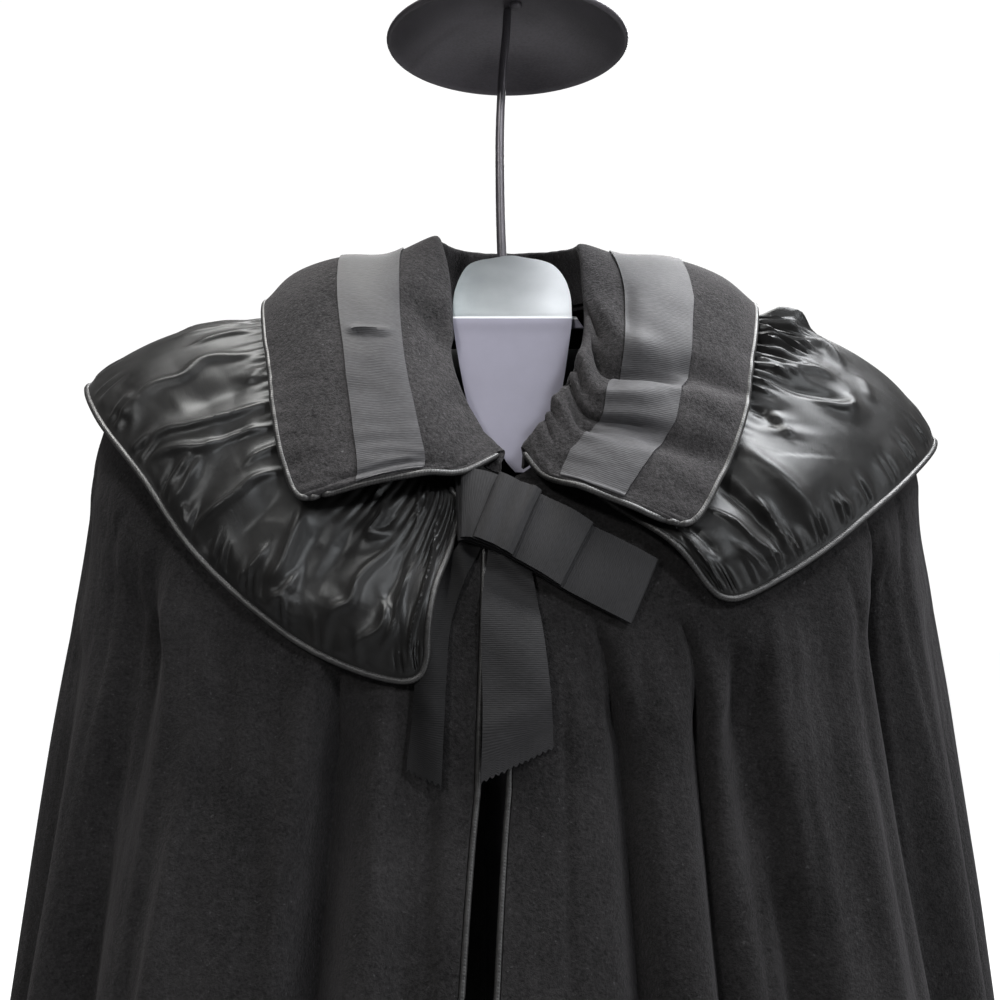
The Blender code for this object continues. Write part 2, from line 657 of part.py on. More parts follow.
def make_collar_ribbon():
    """Grosgrain ribbon stitched round the collar's fall, made from the collar's own points moved out."""
    stations, steps = collar_grid()
    first = len(COLLAR_STAND_STEPS)
    stations = np.clip(stations[:, first:first + 3], RIBBON_END_INSET, 1 - RIBBON_END_INSET)
    steps = steps[:, first:first + 3]
    normals = collar_normal(stations, steps)
    middle = collar_shape(stations, steps)
    facing = np.sign(np.sum(normals * (middle - COLLAR_MIDDLE), -1, keepdims=True))
    lift = WOOL / 2 + RIBBON_CLEARANCE + RIBBON / 2
    wall("collar_ribbon", middle + normals * facing * lift, normals * facing, RIBBON, "ribbon")


def make_collar_piping():
    """Satin cord along the collar's free edge, from the wearer's right tip round the back to the left."""
    away = PIPING_RADIUS + PIPING_GAP
    stations, steps = collar_grid()
    front = steps[0, len(COLLAR_STAND_STEPS):]
    ends = np.zeros(len(front))
    right = collar_shape(ends, front)
    right_line = off_edge(right, collar_shape(ends + 0.01, front), away)
    rim = collar_shape(stations[:, -1], steps[:, -1])
    rim_line = off_edge(rim, collar_shape(stations[:, -1], steps[:, -1] - 0.015), away)
    front = steps[-1, len(COLLAR_STAND_STEPS):][::-1]
    left = collar_shape(ends + 1, front)
    left_line = off_edge(left, collar_shape(ends + 0.99, front), away)
    path = round_corner(round_corner(right_line, rim_line, right[-1]), left_line, left[0])
    tube("collar_piping", path, PIPING_RADIUS, PIPING_SIDES, "satin")


def ruffle_shape(side, station, step, floor=0.0):
    """Middle of a ruffle half: station 0 to 1 from its front edge to the centre back, step 0 to 1 outward."""
    station, step = np.broadcast_arrays(np.asarray(station, float), np.asarray(step, float))
    rows = RUFFLE_RIGHT if side == "right" else RUFFLE_LEFT
    row = read_table(rows, RUFFLE_COLUMNS, np.clip(station, -0.02, 1.02))
    out = np.clip(step, 0.0, 1.05)
    angle = row.inner_angle + (row.outer_angle - row.inner_angle) * out**row.fan
    level = RUFFLE_INNER_LEVEL + (row.outer_level - RUFFLE_INNER_LEVEL) * out
    inner = np.full(station.shape, RUFFLE_INNER_LIFT)
    knots = np.stack([inner, row.lift_near, row.lift_far, row.lift_edge])[..., None]
    lift = np.maximum(read_knots(knots, out * 3)[..., 0], floor)
    height = np.interp(out, RUFFLE_STEPS, RUFFLE_WAVE_HEIGHTS)
    phase = 2 * np.pi * RUFFLE_WAVES * station + RUFFLE_UNEVENNESS * np.sin(9 * station)
    calm = smooth_step(station / RUFFLE_CALM_END) * smooth_step((1 - station) / RUFFLE_CALM_END)
    return lifted(angle, level, lift + height * np.sin(phase) * calm)


def make_ruffles():
    """Satin ruffle in two halves that meet at the centre back."""
    count = RUFFLE_WAVES * RUFFLE_POINTS_PER_WAVE + 1
    for side in ("right", "left"):

        def shape(station, step, floor=0.0, side=side):
            return ruffle_shape(side, station, step, floor)

        stations, steps = np.meshgrid(np.linspace(0, RUFFLE_LAST_STATION, count), RUFFLE_STEPS, indexing="ij")
        normals = normal_of(shape, stations, steps, 0.002, 0.01)
        wall(f"{side}_ruffle", shape(stations, steps), normals, SATIN, "satin")
        make_ruffle_piping(f"{side}_ruffle_piping", shape, stations[::2, 0])


def make_ruffle_piping(name, shape, rim_stations):
    """Satin cord up a ruffle's front edge and along its outer edge, clear of the body cloth."""
    away = PIPING_RADIUS + PIPING_GAP
    steps = np.array(RUFFLE_STEPS)
    ends = np.zeros(len(steps))
    front = shape(ends, steps, RUFFLE_PIPING_FLOOR)
    front_line = off_edge(front, shape(ends + 0.01, steps, RUFFLE_PIPING_FLOOR), away)
    ones = np.ones(len(rim_stations))
    rim = shape(rim_stations, ones)
    rim_line = off_edge(rim, shape(rim_stations, ones * 0.985), away)
    tube(name, round_corner(front_line, rim_line, rim[0]), PIPING_RADIUS, PIPING_SIDES, "satin")


def bow_point(along, across, lift):
    """Point of the bow: along runs to the wearer's left, across runs up, lift stands off the chest."""
    along, across, lift = np.broadcast_arrays(*(np.asarray(v, float) for v in (along, across, lift)))
    rows = SimpleNamespace(**dict(zip(BOW_FALL_COLUMNS, np.array(BOW_FALLS, float).T)))
    runs = np.linspace(rows.along[0], rows.along[-1], BOW_FALL_POINTS)
    falls = np.radians(np.interp(runs, rows.along, rows.fall))
    spacing = runs[1] - runs[0]
    middle_x = BOW_START[0] + spacing * (np.cumsum(np.cos(falls)) - np.cos(falls[0]))
    middle_z = BOW_START[1] - spacing * (np.cumsum(np.sin(falls)) - np.sin(falls[0]))
    fall = np.interp(along, runs, falls)
    x = np.interp(along, runs, middle_x) + across * np.sin(fall)
    z = np.interp(along, runs, middle_z) + across * np.cos(fall)
    angle, level = locate_front(x, z)
    return lifted(angle, level, lift)


def make_bow():
    """Three flattened loops, the longest behind, and two tails that hang from under the knot."""
    count = BOW_LOOP_SIDES
    turns = np.arange(count) * 2 * np.pi / count
    run = np.sign(np.cos(turns)) * np.abs(np.cos(turns)) ** 0.6
    rise = np.sign(np.sin(turns)) * np.abs(np.sin(turns)) ** 0.45
    for name, row in BOW_LOOPS.items():
        loop = SimpleNamespace(**dict(zip(BOW_LOOP_COLUMNS, row)))
        reach = np.where(run > 0, loop.left_reach, loop.right_reach)
        points = []
        for across in (-RIBBON_WIDTH / 2, RIBBON_WIDTH / 2):
            for inset in (0.0, RIBBON):
                lift = loop.lift + rise * (BOW_LOOP_HALF_THICKNESS - inset)
                points.append(bow_point(run * (reach - inset), np.full(count, across), lift))
        faces = []
        for k in range(count):
            n = (k + 1) % count
            faces.append((k, n, 2 * count + n, 2 * count + k))
            faces.append((count + n, count + k, 3 * count + k, 3 * count + n))
            faces.append((n, k, count + k, count + n))
            faces.append((2 * count + k, 2 * count + n, 3 * count + n, 3 * count + k))
        new_object(name, np.concatenate(points), faces, "ribbon")
    make_tail("bow_left_tail", LEFT_TAIL)
    make_tail("bow_right_tail", RIGHT_TAIL)


def make_tail(name, rows):
    """Hanging ribbon tail with a slanted end, lying off the cloak's front."""
    down = np.linspace(0, 1, TAIL_ROWS)
    row = read_table(rows, TAIL_COLUMNS, down)
    shares = np.linspace(0, 1, 5)
    slant = TAIL_SLANTS[name] * smooth_step((down - 0.75) / 0.25)
    x = row.inner_x[:, None] + (row.outer_x - row.inner_x)[:, None] * shares
    z = row.height[:, None] + slant[:, None] * shares
    angle, level = locate_front(x, z)
    curl = TAIL_CURL * smooth_step((down - 0.33) / 0.17)[:, None] * np.sin(shares * np.pi)
    wall(name, lifted(angle, level, row.lift[:, None] + curl), outward(angle, level), RIBBON, "ribbon")


def circle(radius, height, sides, centre_x=0.0):
    """Ring of points round the stand's axis."""
    turns = np.arange(sides) * 2 * np.pi / sides
    ring = np.stack([centre_x + radius * np.cos(turns), radius * np.sin(turns)], -1)
    return np.concatenate([ring, np.full((sides, 1), height)], 1)


def make_foot():
    """Round foot plate and the pole that stands on it."""
    base = [
        circle(BASE_RADIUS, 0.0, BASE_SIDES),
        circle(BASE_RADIUS, BASE_HEIGHT - BASE_CHAMFER, BASE_SIDES),
        circle(BASE_RADIUS - BASE_CHAMFER, BASE_HEIGHT, BASE_SIDES),
    ]
    ring_solid("stand_base", base, "black_metal")
    pole = [circle(radius, BASE_HEIGHT + SEAM_GAP + height, POLE_SIDES) for radius, height in POLE_FLANGE]
    pole.append(circle(POLE_RADIUS, FORM_BOTTOM - SEAM_GAP, POLE_SIDES))
    ring_solid("stand_pole", pole, "black_metal")


def make_form():
    """Smooth limbless shoulder form, which carries the cloak along the shoulders and clears it elsewhere."""
    angles = np.linspace(-180, 180, FORM_SIDES, endpoint=False)
    openness = np.abs(np.cos(np.radians(angles))) ** 0.8
    rings = []
    for row in FORM_RINGS:
        ring = SimpleNamespace(**dict(zip(FORM_RING_COLUMNS, row)))
        room = FORM_CLEARANCE + FORM_FRONT_CLEARANCE * openness + ring.extra_room
        points = lifted(angles, np.full(FORM_SIDES, ring.level), -room)
        points[:, :2] = FORM_CENTRE + (points[:, :2] - FORM_CENTRE) * ring.scale
        points[:, 2] += (ring.flat_height - points[:, 2]) * ring.flatness
        rings.append(points)
    ring_solid("shoulder_form", rings, "form")


def make_neck_plate():
    """Bent metal plate that shows in the neck opening."""
    plate = SimpleNamespace(**{name: column(PLATE_OUTLINE, PLATE_COLUMNS, name) for name in PLATE_COLUMNS})
    shares = np.linspace(-1, 1, 5)
    crown = np.zeros(len(plate.height))
    crown[:len(PLATE_CROWN)] = PLATE_CROWN
    x = plate.centre_x[:, None] + plate.half_width[:, None] * shares
    z = plate.height[:, None] + crown[:, None] * (1 - shares**2)
    y = np.broadcast_to(plate.y[:, None], x.shape)
    slope = unit(np.gradient(np.stack([plate.y, plate.height], -1), axis=0))
    facing = np.stack([np.zeros(len(slope)), -slope[:, 1], slope[:, 0]], -1)
    normals = np.broadcast_to(facing[:, None], (*x.shape, 3))
    wall("neck_plate", np.stack([x, y, z], -1), normals, PLATE_THICKNESS, "pale_metal")


def make_neck_bar():
    """Short bar behind the plate, with a stem back to the rod and slanted at its visible end."""
    front_of_rod = -ROD_RADIUS - SEAM_GAP
    rings = []
    for left, height in ((BAR_LEFT_END + BAR_SLANT, BAR_BOTTOM), (BAR_LEFT_END, BAR_TOP)):
        outline = (
            (BAR_RIGHT_END, BAR_FRONT), (left, BAR_FRONT),
            (left, BAR_BACK), (BAR_STEM, BAR_BACK),
            (BAR_STEM, front_of_rod), (-BAR_STEM, front_of_rod),
            (-BAR_STEM, BAR_BACK), (BAR_RIGHT_END, BAR_BACK),
        )
        rings.append([(x, y, height) for x, y in outline])
    ring_solid("neck_bar", rings, "pale_metal")


def make_head_rod():
    """Thin rod, a little bent, from the form up to the dome."""
    foot = (0.0, 0.0, FORM_TOP + SEAM_GAP)
    head = (DOME_CENTRE_X, 0.0, DOME_RIM_HEIGHT + DOME_RISE - 2 * SEAM_GAP)
    heights, sways = (column(ROD_SWAY, ROD_SWAY_COLUMNS, name) for name in ROD_SWAY_COLUMNS)
    path = [foot, *((x, 0.0, height) for height, x in zip(heights, sways)), head]
    tube("head_rod", path, ROD_RADIUS, ROD_SIDES, "black_metal")


def make_dome():
    """Shallow domed head plate, open below, with a rolled rim."""
    inside, outside = [], []
    for share in DOME_RING_SHARES:
        radius = DOME_RIM_RADIUS * share
        height = DOME_RIM_HEIGHT + DOME_RISE * (1 - share**DOME_ROUNDNESS)
        inside.append((radius - DOME_WALL * share**3, height))
        outside.append((radius, height + DOME_WALL))
    lip = (DOME_RIM_RADIUS + DOME_RIM_LIP[0], DOME_RIM_HEIGHT + DOME_RIM_LIP[1])
    profile = (*inside, lip, *outside[::-1])
    rings = [circle(radius, height, DOME_SIDES, DOME_CENTRE_X) for radius, height in profile]
    apex = DOME_RIM_HEIGHT + DOME_RISE
    points = np.concatenate([*rings, [(DOME_CENTRE_X, 0.0, apex), (DOME_CENTRE_X, 0.0, apex + DOME_WALL)]])
    last = (len(rings) - 1) * DOME_SIDES
    faces = []
    for k in range(DOME_SIDES):
        n = (k + 1) % DOME_SIDES
        faces.append((len(points) - 2, k, n))
        faces.append((len(points) - 1, last + n, last + k))
        for start in range(0, last, DOME_SIDES):
            faces.append((start + k, start + DOME_SIDES + k, start + DOME_SIDES + n, start + n))
    new_object("head_dome", points, faces, "black_metal")


def clear_scene():
    for old in list(bpy.data.objects):
        bpy.data.objects.remove(old)


def main():
    clear_scene()
    make_foot()
    make_form()
    make_neck_plate()
    make_neck_bar()
    make_head_rod()
    make_dome()
    make_body()
    make_front_piping()
    make_ruffles()
    make_collar()
    make_collar_ribbon()
    make_collar_piping()
    make_bow()


main()
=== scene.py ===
import math

import bmesh
import bpy
import numpy as np
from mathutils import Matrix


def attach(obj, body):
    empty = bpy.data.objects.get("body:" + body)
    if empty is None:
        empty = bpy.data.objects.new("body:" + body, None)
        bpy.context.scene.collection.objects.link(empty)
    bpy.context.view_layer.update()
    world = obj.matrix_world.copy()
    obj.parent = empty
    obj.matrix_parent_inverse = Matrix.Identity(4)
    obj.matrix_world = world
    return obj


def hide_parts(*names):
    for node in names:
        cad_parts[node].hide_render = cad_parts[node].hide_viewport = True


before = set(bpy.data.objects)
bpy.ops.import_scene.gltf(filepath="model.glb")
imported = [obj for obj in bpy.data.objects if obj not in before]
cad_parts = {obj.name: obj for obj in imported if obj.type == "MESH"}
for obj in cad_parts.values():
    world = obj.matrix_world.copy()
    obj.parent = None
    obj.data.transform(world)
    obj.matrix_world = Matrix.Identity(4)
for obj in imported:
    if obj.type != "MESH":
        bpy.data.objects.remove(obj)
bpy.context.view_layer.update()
mm = 0.001
print("frame loaded:", len(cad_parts), "solids")


# Studio
studio = {
    "eye": (-0.0026, -0.66, 1.29),
    "lens": 36.0,
    "floorRadius": 9.0,
    "floorColour": (0.34, 0.34, 0.345),
    "floorGlow": 0.97,
    "skyColour": (1.0, 1.0, 1.0),
    "skyStrength": 1.05,
    "roomStrength": 0.08,
    "lamps": {  # place, aim, width, height, watts, colour
        "topLeft": ((-0.3, 0.14, 2.9), (-0.1, -0.1, 1.3), 1.2, 0.6, 51, (1.0, 0.99, 0.96)),
        "topRight": ((0.8, 0.08, 2.8), (0.12, -0.1, 1.3), 1.2, 0.7, 67, (0.97, 0.98, 1.0)),
        "frontLeft": ((-1.1, -2.0, 2.6), (-0.1, 0.0, 1.25), 0.34, 0.3, 26.0, (1.0, 0.99, 0.97)),
        "frontRight": ((1.2, -1.9, 2.7), (0.1, 0.0, 1.25), 0.42, 0.36, 36.0, (0.96, 0.98, 1.0)),
        "sideRight": ((2.1, -1.1, 1.3), (0.0, -0.1, 1.1), 0.14, 1.9, 18, (0.96, 0.98, 1.0)),
        "backGlow": ((0.2, 1.9, 2.5), (0.0, 0.0, 1.25), 2.0, 1.0, 45, (1.0, 1.0, 1.0)),
    },
}


def aimAt(thing, place, target):
    thing.location = place
    away = np.array(place, float) - np.array(target, float)
    flatRun = math.hypot(away[0], away[1])
    thing.rotation_euler = (math.atan2(flatRun, away[2]), 0, math.atan2(away[1], away[0]) + math.pi / 2)


def makeCamera():
    camera = bpy.data.objects.new("camera", bpy.data.cameras.new("camera"))
    bpy.context.scene.collection.objects.link(camera)
    camera.location = studio["eye"]
    camera.rotation_euler = (math.pi / 2, 0, 0)
    camera.data.lens = studio["lens"]
    camera.data.sensor_width = 36.0
    bpy.context.scene.camera = camera


def makeLamps():
    for name, (place, target, width, height, watts, colour) in studio["lamps"].items():
        lamp = bpy.data.objects.new(name, bpy.data.lights.new(name, "AREA"))
        bpy.context.scene.collection.objects.link(lamp)
        lamp.data.shape = "RECTANGLE"
        lamp.data.size, lamp.data.size_y = width, height
        lamp.data.energy, lamp.data.color = watts, colour
        aimAt(lamp, place, target)


bpy.context.scene.view_settings.view_transform = "Standard"
makeCamera()
makeLamps()
print("camera and lamps ready")


# Finishes
class Wire:  # a shader socket that can stand in a sum
    def __init__(self, tree, end=None):
        self.tree, self.end = tree, end

    def node(self, kind, settings=None, feed=None,
            out=0):  # any node: its type, settings, then what feeds it
        made = self.tree.nodes.new(kind)
        for key, value in (settings or {}).items():
            if key == "stops":
                ramp = made.color_ramp
                for k, (place, colour) in enumerate(value):
                    stop = ramp.elements[k] if k < len(ramp.elements) else ramp.elements.new(place)
                    stop.position, stop.color = place, colour
            else:
                setattr(made, key, value)
        for key, value in (feed or {}).items():
            if isinstance(value, Wire):
                self.tree.links.new(value.end, made.inputs[key])
            else:
                made.inputs[key].default_value = value
        return Wire(self.tree, made.outputs[out])

    def sum(self, operation, *values):
        return self.node("ShaderNodeMath", {"operation": operation}, dict(enumerate(values)))

    def __add__(self, other):
        return self.sum("ADD", self, other)

    def __radd__(self, other):
        return self.sum("ADD", other, self)

    def __sub__(self, other):
        return self.sum("SUBTRACT", self, other)

    def __rsub__(self, other):
        return self.sum("SUBTRACT", other, self)

    def __mul__(self, other):
        return self.sum("MULTIPLY", self, other)

    def __rmul__(self, other):
        return self.sum("MULTIPLY", other, self)

    def __pow__(self, other):
        return self.sum("POWER", self, other)


    def noise(self, place, scale, detail=2.0, rough=0.5):
        return self.node("ShaderNodeTexNoise", None,
            {"Vector": place, "Scale": scale, "Detail": detail, "Roughness": rough})

    def between(self, low, high):  # 0 below low, 1 above high
        return self.node("ShaderNodeMapRange", {"clamp": True},
            {"Value": self, "From Min": low, "From Max": high})

    def mixed(self, first, second):  # this wire's value blends two colours
        settings = {"data_type": "RGBA"}
        return self.node("ShaderNodeMix", settings, {0: self, 6: first, 7: second}, out=2)

    def stretched(self, factors):  # a vector wire, scaled along each axis
        return self.node("ShaderNodeVectorMath", {"operation": "MULTIPLY"}, {0: self, 1: factors})


def newFinish(name, constants):
    made = bpy.data.materials.new(name)
    made.use_nodes = True
    shader = made.node_tree.nodes["Principled BSDF"]
    for key, value in constants.items():
        shader.inputs[key].default_value = value
    return made, Wire(made.node_tree), shader


def plugIn(start, shader, colour=None, roughness=None, height=None, distance=0.001, strength=1.0):
    links = start.tree.links
    if colour:
        links.new(colour.end, shader.inputs["Base Color"])
    if roughness:
        links.new(roughness.end, shader.inputs["Roughness"])
    if height:
        bumped = start.node("ShaderNodeBump", None,
            {"Height": height, "Distance": distance, "Strength": strength})
        links.new(bumped.end, shader.inputs["Normal"])


woolLook = {
    "dark": (0.005, 0.0048, 0.005, 1), "light": (0.044, 0.042, 0.0435, 1), "fluff": (0.11, 0.108, 0.113, 1),
    "grain": 640.0, "felt": 260.0, "cloud": 16.0, "lint": 520.0,
    "sheen": 0.08, "sheenTint": (0.66, 0.63, 0.66, 1),
}
satinLook = {
    "black": (0.0055, 0.0053, 0.0052, 1), "worn": (0.0165, 0.016, 0.0158, 1),
    "threads": (260.0, 5200.0, 1.0), "slub": (60.0, 900.0, 1.0), "cloud": 45.0, "smooth": 0.31,
    "rough": 0.43,
}
ribbonLook = {"black": (0.014, 0.014, 0.0147, 1), "grey": (0.062, 0.061, 0.066, 1), "ribPitch": 0.0011}
cordLook = {"black": (0.009, 0.009, 0.009, 1), "wear": (0.03, 0.029, 0.029, 1), "twist": 0.0016}
blackMetalLook = {"dark": (0.055, 0.051, 0.057, 1), "light": (0.15, 0.14, 0.156, 1)}
plateLook = {
    "matt": (0.185, 0.18, 0.228, 1), "mottle": (0.148, 0.143, 0.183, 1),
    # the next colour is a painted highlight along the plate's fold
    "edge": (0.9, 0.92, 0.93, 1),
    # the two colours on the next line are the light and dark ends of a painted reflection across the top
    # flange
    "reflectionLight": (0.6, 0.62, 0.64, 1), "reflectionDark": (0.2, 0.23, 0.245, 1), "bendHeight": 1.4025,
}


# scales a colour's brightness; a share below 1 makes a darker copy of a cloth, painted shade
def dimmed(colour, share):
    return (*(part * share for part in colour[:3]), 1)


# a share below 1 gives a darker copy of the same wool, painted shade
def makeWoolFinish(name, share):
    look = woolLook
    made, start, shader = newFinish(name, {
        "Sheen Weight": look["sheen"], "Sheen Roughness": 0.45, "Sheen Tint": look["sheenTint"],
        "Specular IOR Level": 0.15, "Roughness": 0.95,
    })
    place = start.node("ShaderNodeTexCoord", out=3)
    grain = start.noise(place, look["grain"], 4.0, 0.7)
    felt = start.noise(place, look["felt"], 3.0, 0.6)
    cloud = start.noise(place, look["cloud"], 2.0)
    lint = start.noise(place, look["lint"], 1.0).between(0.735, 0.76)
    tone = (grain * 0.6 + felt * 0.3 + cloud * 0.3).between(0.44, 0.76)
    colour = tone.mixed(dimmed(look["dark"], share), dimmed(look["light"], share))
    colour = (lint * 0.4).mixed(colour, dimmed(look["fluff"], share))
    plugIn(start, shader, colour, 0.86 + felt * 0.14, grain * 0.9 + felt * 0.6, 0.0012, 0.8)
    return made


def makeSatinFinish():
    look = satinLook
    made, start, shader = newFinish("blackSatin", {
        "Specular IOR Level": 0.21, "Specular Tint": (0.95, 0.98, 1.0, 1), "Anisotropic": 0.3,
        "Sheen Weight": 0.05, "Sheen Roughness": 0.3,
    })
    weave = start.node("ShaderNodeUVMap", {"uv_map": "cloth"})
    threads = start.noise(weave.stretched(look["threads"]), 1.0, 2.0)
    slub = start.noise(weave.stretched(look["slub"]), 1.0, 2.0)
    cloud = start.noise(start.node("ShaderNodeTexCoord", out=3), look["cloud"], 3.0)
    colour = (cloud * 0.6 + threads * 0.4).between(0.3, 0.8).mixed(look["black"], look["worn"])
    roughness = look["smooth"] + (cloud * 0.7 + slub * 0.3).between(0.3,
        0.75) * (look["rough"] - look["smooth"])
    plugIn(start, shader, colour, roughness, threads + slub * 0.7, 0.00009, 0.6)
    return made


# a share below 1 gives a darker, less glossy copy of the same grosgrain, painted shade
def makeRibbonFinish(name, share):
    look = ribbonLook
    made, start, shader = newFinish(name,
        {"Specular IOR Level": 0.28 * share**0.5, "Sheen Weight": 0.05 * share, "Sheen Roughness": 0.35})
    weave = start.node("ShaderNodeUVMap", {"uv_map": "cloth"})
    along = start.node("ShaderNodeSeparateXYZ", None, {0: weave}, out=0)
    ribs = start.sum("SINE", along * (2 * math.pi / look["ribPitch"])) * 0.5 + 0.5
    uneven = start.noise(weave.stretched((1200.0, 260.0, 1.0)), 1.0, 3.0)
    cloud = start.noise(start.node("ShaderNodeTexCoord", out=3), 70.0, 3.0)
    tone = (ribs * 0.2 + uneven * 0.55 + cloud * 0.38).between(0.2, 0.85)
    colour = tone.mixed(dimmed(look["black"], share), dimmed(look["grey"], share))
    plugIn(start, shader, colour, 0.52 + cloud * 0.2,
           ribs * 0.4 + uneven, 0.0002, 0.7)
    return made


def makeCordFinish():
    look = cordLook
    made, start, shader = newFinish("satinCord",
        {"Specular IOR Level": 0.45, "Coat Weight": 0.05, "Coat Roughness": 0.25})
    weave = start.node("ShaderNodeUVMap", {"uv_map": "cloth"})
    along = start.node("ShaderNodeSeparateXYZ", None, {0: weave}, out=0)
    across = start.node("ShaderNodeSeparateXYZ", None, {0: weave}, out=1)
    twill = start.sum("SINE", along * (2 * math.pi / look["twist"]) + across * 900.0) * 0.5 + 0.5
    pucker = start.noise(weave.stretched((330.0, 90.0, 1.0)), 1.0, 2.0)
    tone = (twill * 0.3 + pucker * 0.8).between(0.3, 0.8)
    plugIn(start, shader, tone.mixed(look["black"], look["wear"]), 0.3 + pucker * 0.22,
           pucker * 1.3 + twill * 0.35, 0.00035, 0.6)
    return made


def makeBlackMetalFinish():
    look = blackMetalLook
    made, start, shader = newFinish("blackSatinMetal",
        {"Metallic": 0.5, "Specular IOR Level": 0.5, "Coat Weight": 0.2, "Coat Roughness": 0.3})
    place = start.node("ShaderNodeTexCoord", out=3)
    fine = start.noise(place.stretched((1.0, 1.0, 6.0)), 420.0, 4.0, 0.7)
    cloud = start.noise(place, 26.0, 3.0)
    plugIn(start, shader, (fine * 0.5 + cloud * 0.5).between(0.3, 0.75).mixed(look["dark"], look["light"]),
           0.26 + cloud * 0.16 + fine * 0.08, fine, 0.00006, 0.5)
    return made


def makePlateFinish():
    look = plateLook
    made, start, shader = newFinish("bentSteel", {"Specular IOR Level": 0.5})
    place = start.node("ShaderNodeTexCoord", out=3)
    height = start.node("ShaderNodeSeparateXYZ", None, {0: place}, out=2)
    side = start.node("ShaderNodeSeparateXYZ", None, {0: place}, out=0)
    brushed = start.noise(place.stretched((1.0, 9.0, 9.0)), 240.0, 3.0)
    mottled = start.noise(place, 60.0, 4.0, 0.6)
    upper = height.between(look["bendHeight"] - 0.0006, look["bendHeight"] + 0.0006)
    lower = (mottled * 0.8).mixed(look["matt"], look["mottle"])
    # painted reflection: the top flange's colour runs from dark at one side to light at the other, standing
    # in for mirrored lamps
    flangeReflection = (side.between(-0.03, 0.03) * 0.8 + mottled * 0.25).mixed(look["reflectionDark"], look["reflectionLight"])
    bend = height.between(look["bendHeight"] - 0.0012,
        look["bendHeight"] - 0.0004) - upper  # painted highlight along the lit fold in the sheet
    colour = (bend * 0.9).mixed(upper.mixed(lower, flangeReflection), look["edge"])
    roughness = upper * -0.2 + 0.5 + brushed * 0.08 + mottled * 0.06
    plugIn(start, shader, colour, roughness, brushed * 0.5 + mottled * 0.5, 0.00008, 0.35)
    start.tree.links.new((upper * 0.85).end, shader.inputs["Metallic"])
    return made


def makeFormFinish():
    made, start, shader = newFinish("formShell", {"Specular IOR Level": 0.3, "Sheen Weight": 0.12})
    place = start.node("ShaderNodeTexCoord", out=3)
    knit = start.noise(place, 700.0, 3.0, 0.6)
    cloud = start.noise(place, 30.0, 2.0)
    plugIn(start, shader, (knit * 0.6 + cloud * 0.4).between(0.3, 0.8).mixed((0.006, 0.006, 0.006, 1),
        (0.014, 0.014, 0.014, 1)),
           0.72 + cloud * 0.2, knit, 0.0003, 0.5)
    return made


def makeFloorFinish():
    made, start, shader = newFinish("paleFloor",
        {"Specular IOR Level": 0.2, "Emission Strength": studio["floorGlow"]})
    seen = start.node("ShaderNodeLightPath", out=0)
    start.tree.links.new(seen.mixed((0, 0, 0, 1), (1, 1, 1, 1)).end, shader.inputs["Emission Color"])
    place = start.node("ShaderNodeTexCoord", out=3)
    cloud = start.noise(place, 1.5, 3.0)
    light = (*studio["floorColour"], 1)
    plugIn(start, shader, (cloud * 0.25).mixed(light, (0.3, 0.3, 0.305, 1)), 0.6 + cloud * 0.2)
    return made


finishes = {
    # the body's wool is the collar's wool at about half its brightness: painted shade on the hanging body
    "wool": makeWoolFinish("milledWool", 1.0), "shadeDarkenedWool": makeWoolFinish("woolDarkenedAsShade", 0.48),
    # the bow's ribbon is the same grosgrain at about a third of its brightness, painted shade
    "ribbon": makeRibbonFinish("grosgrain", 0.95), "shadeDarkenedRibbon": makeRibbonFinish("grosgrainDarkenedAsShade", 0.35),
    # the right tail's ribbon is the same grosgrain at about a seventh of its brightness, painted shade
    "deepShadeRibbon": makeRibbonFinish("grosgrainDarkenedAsDeepShade", 0.14), "satin": makeSatinFinish(),
    "cord": makeCordFinish(),
    "black_metal": makeBlackMetalFinish(), "pale_metal": makePlateFinish(), "form": makeFormFinish(),
    "floor": makeFloorFinish(),
}
print("finishes:", ", ".join(finishes))


def makeSky():
    sky = bpy.data.worlds.new("studioSky")
    bpy.context.scene.world = sky
    sky.use_nodes = True
    start = Wire(sky.node_tree)
    seen = start.node("ShaderNodeLightPath", out=0)
    strength = studio["roomStrength"] + seen * (studio["skyStrength"] - studio["roomStrength"])
    shader = sky.node_tree.nodes["Background"]
    shader.inputs["Color"].default_value = (*studio["skyColour"], 1)
    sky.node_tree.links.new(strength.end, shader.inputs["Strength"])


def makeFloor():
    bpy.ops.mesh.primitive_circle_add(vertices=96, radius=studio["floorRadius"], fill_type="NGON",
        location=(0, 0, -0.0005))
    floor = bpy.context.object
    floor.name = "floor"
    floor.data.materials.append(finishes["floor"])


makeSky()
makeFloor()


# Curves, tables and meshes
def unit(v):
    return v / np.maximum(np.linalg.norm(v, axis=-1, keepdims=True), 1e-9)


def smoothStep(x):
    x = np.clip(x, 0, 1)
    return x * x * (3 - 2 * x)


def smoothRead(values, place):  # Catmull-Rom through evenly spaced rows
    values, place = np.asarray(values, float), np.asarray(place, float)
    last = len(values) - 1
    i = np.clip(np.floor(place).astype(int), 0, last - 1)
    t = (place - i).reshape(place.shape + (1,) * (values.ndim - 1))
    b, c = values[i], values[i + 1]
    a = np.where((i > 0).reshape(t.shape), values[np.maximum(i - 1, 0)], 2 * b - c)
    d = np.where((i < last - 1).reshape(t.shape), values[np.minimum(i + 2, last)], 2 * c - b)
    return 0.5 * (2 * b + (c - a) * t + (2 * a - 5 * b + 4 * c - d) * t**2 + (3 * b - a - 3 * c + d) * t**3)


def readRows(rows, place, angles=()):  # columns of a table at a place from 0 to 1 down its rows
    values = np.array(rows, float)
    for k in angles:
        values[:, k] = np.degrees(np.unwrap(np.radians(values[:, k])))
    return np.moveaxis(smoothRead(values, np.asarray(place, float) * (len(rows) - 1)), -1, 0)


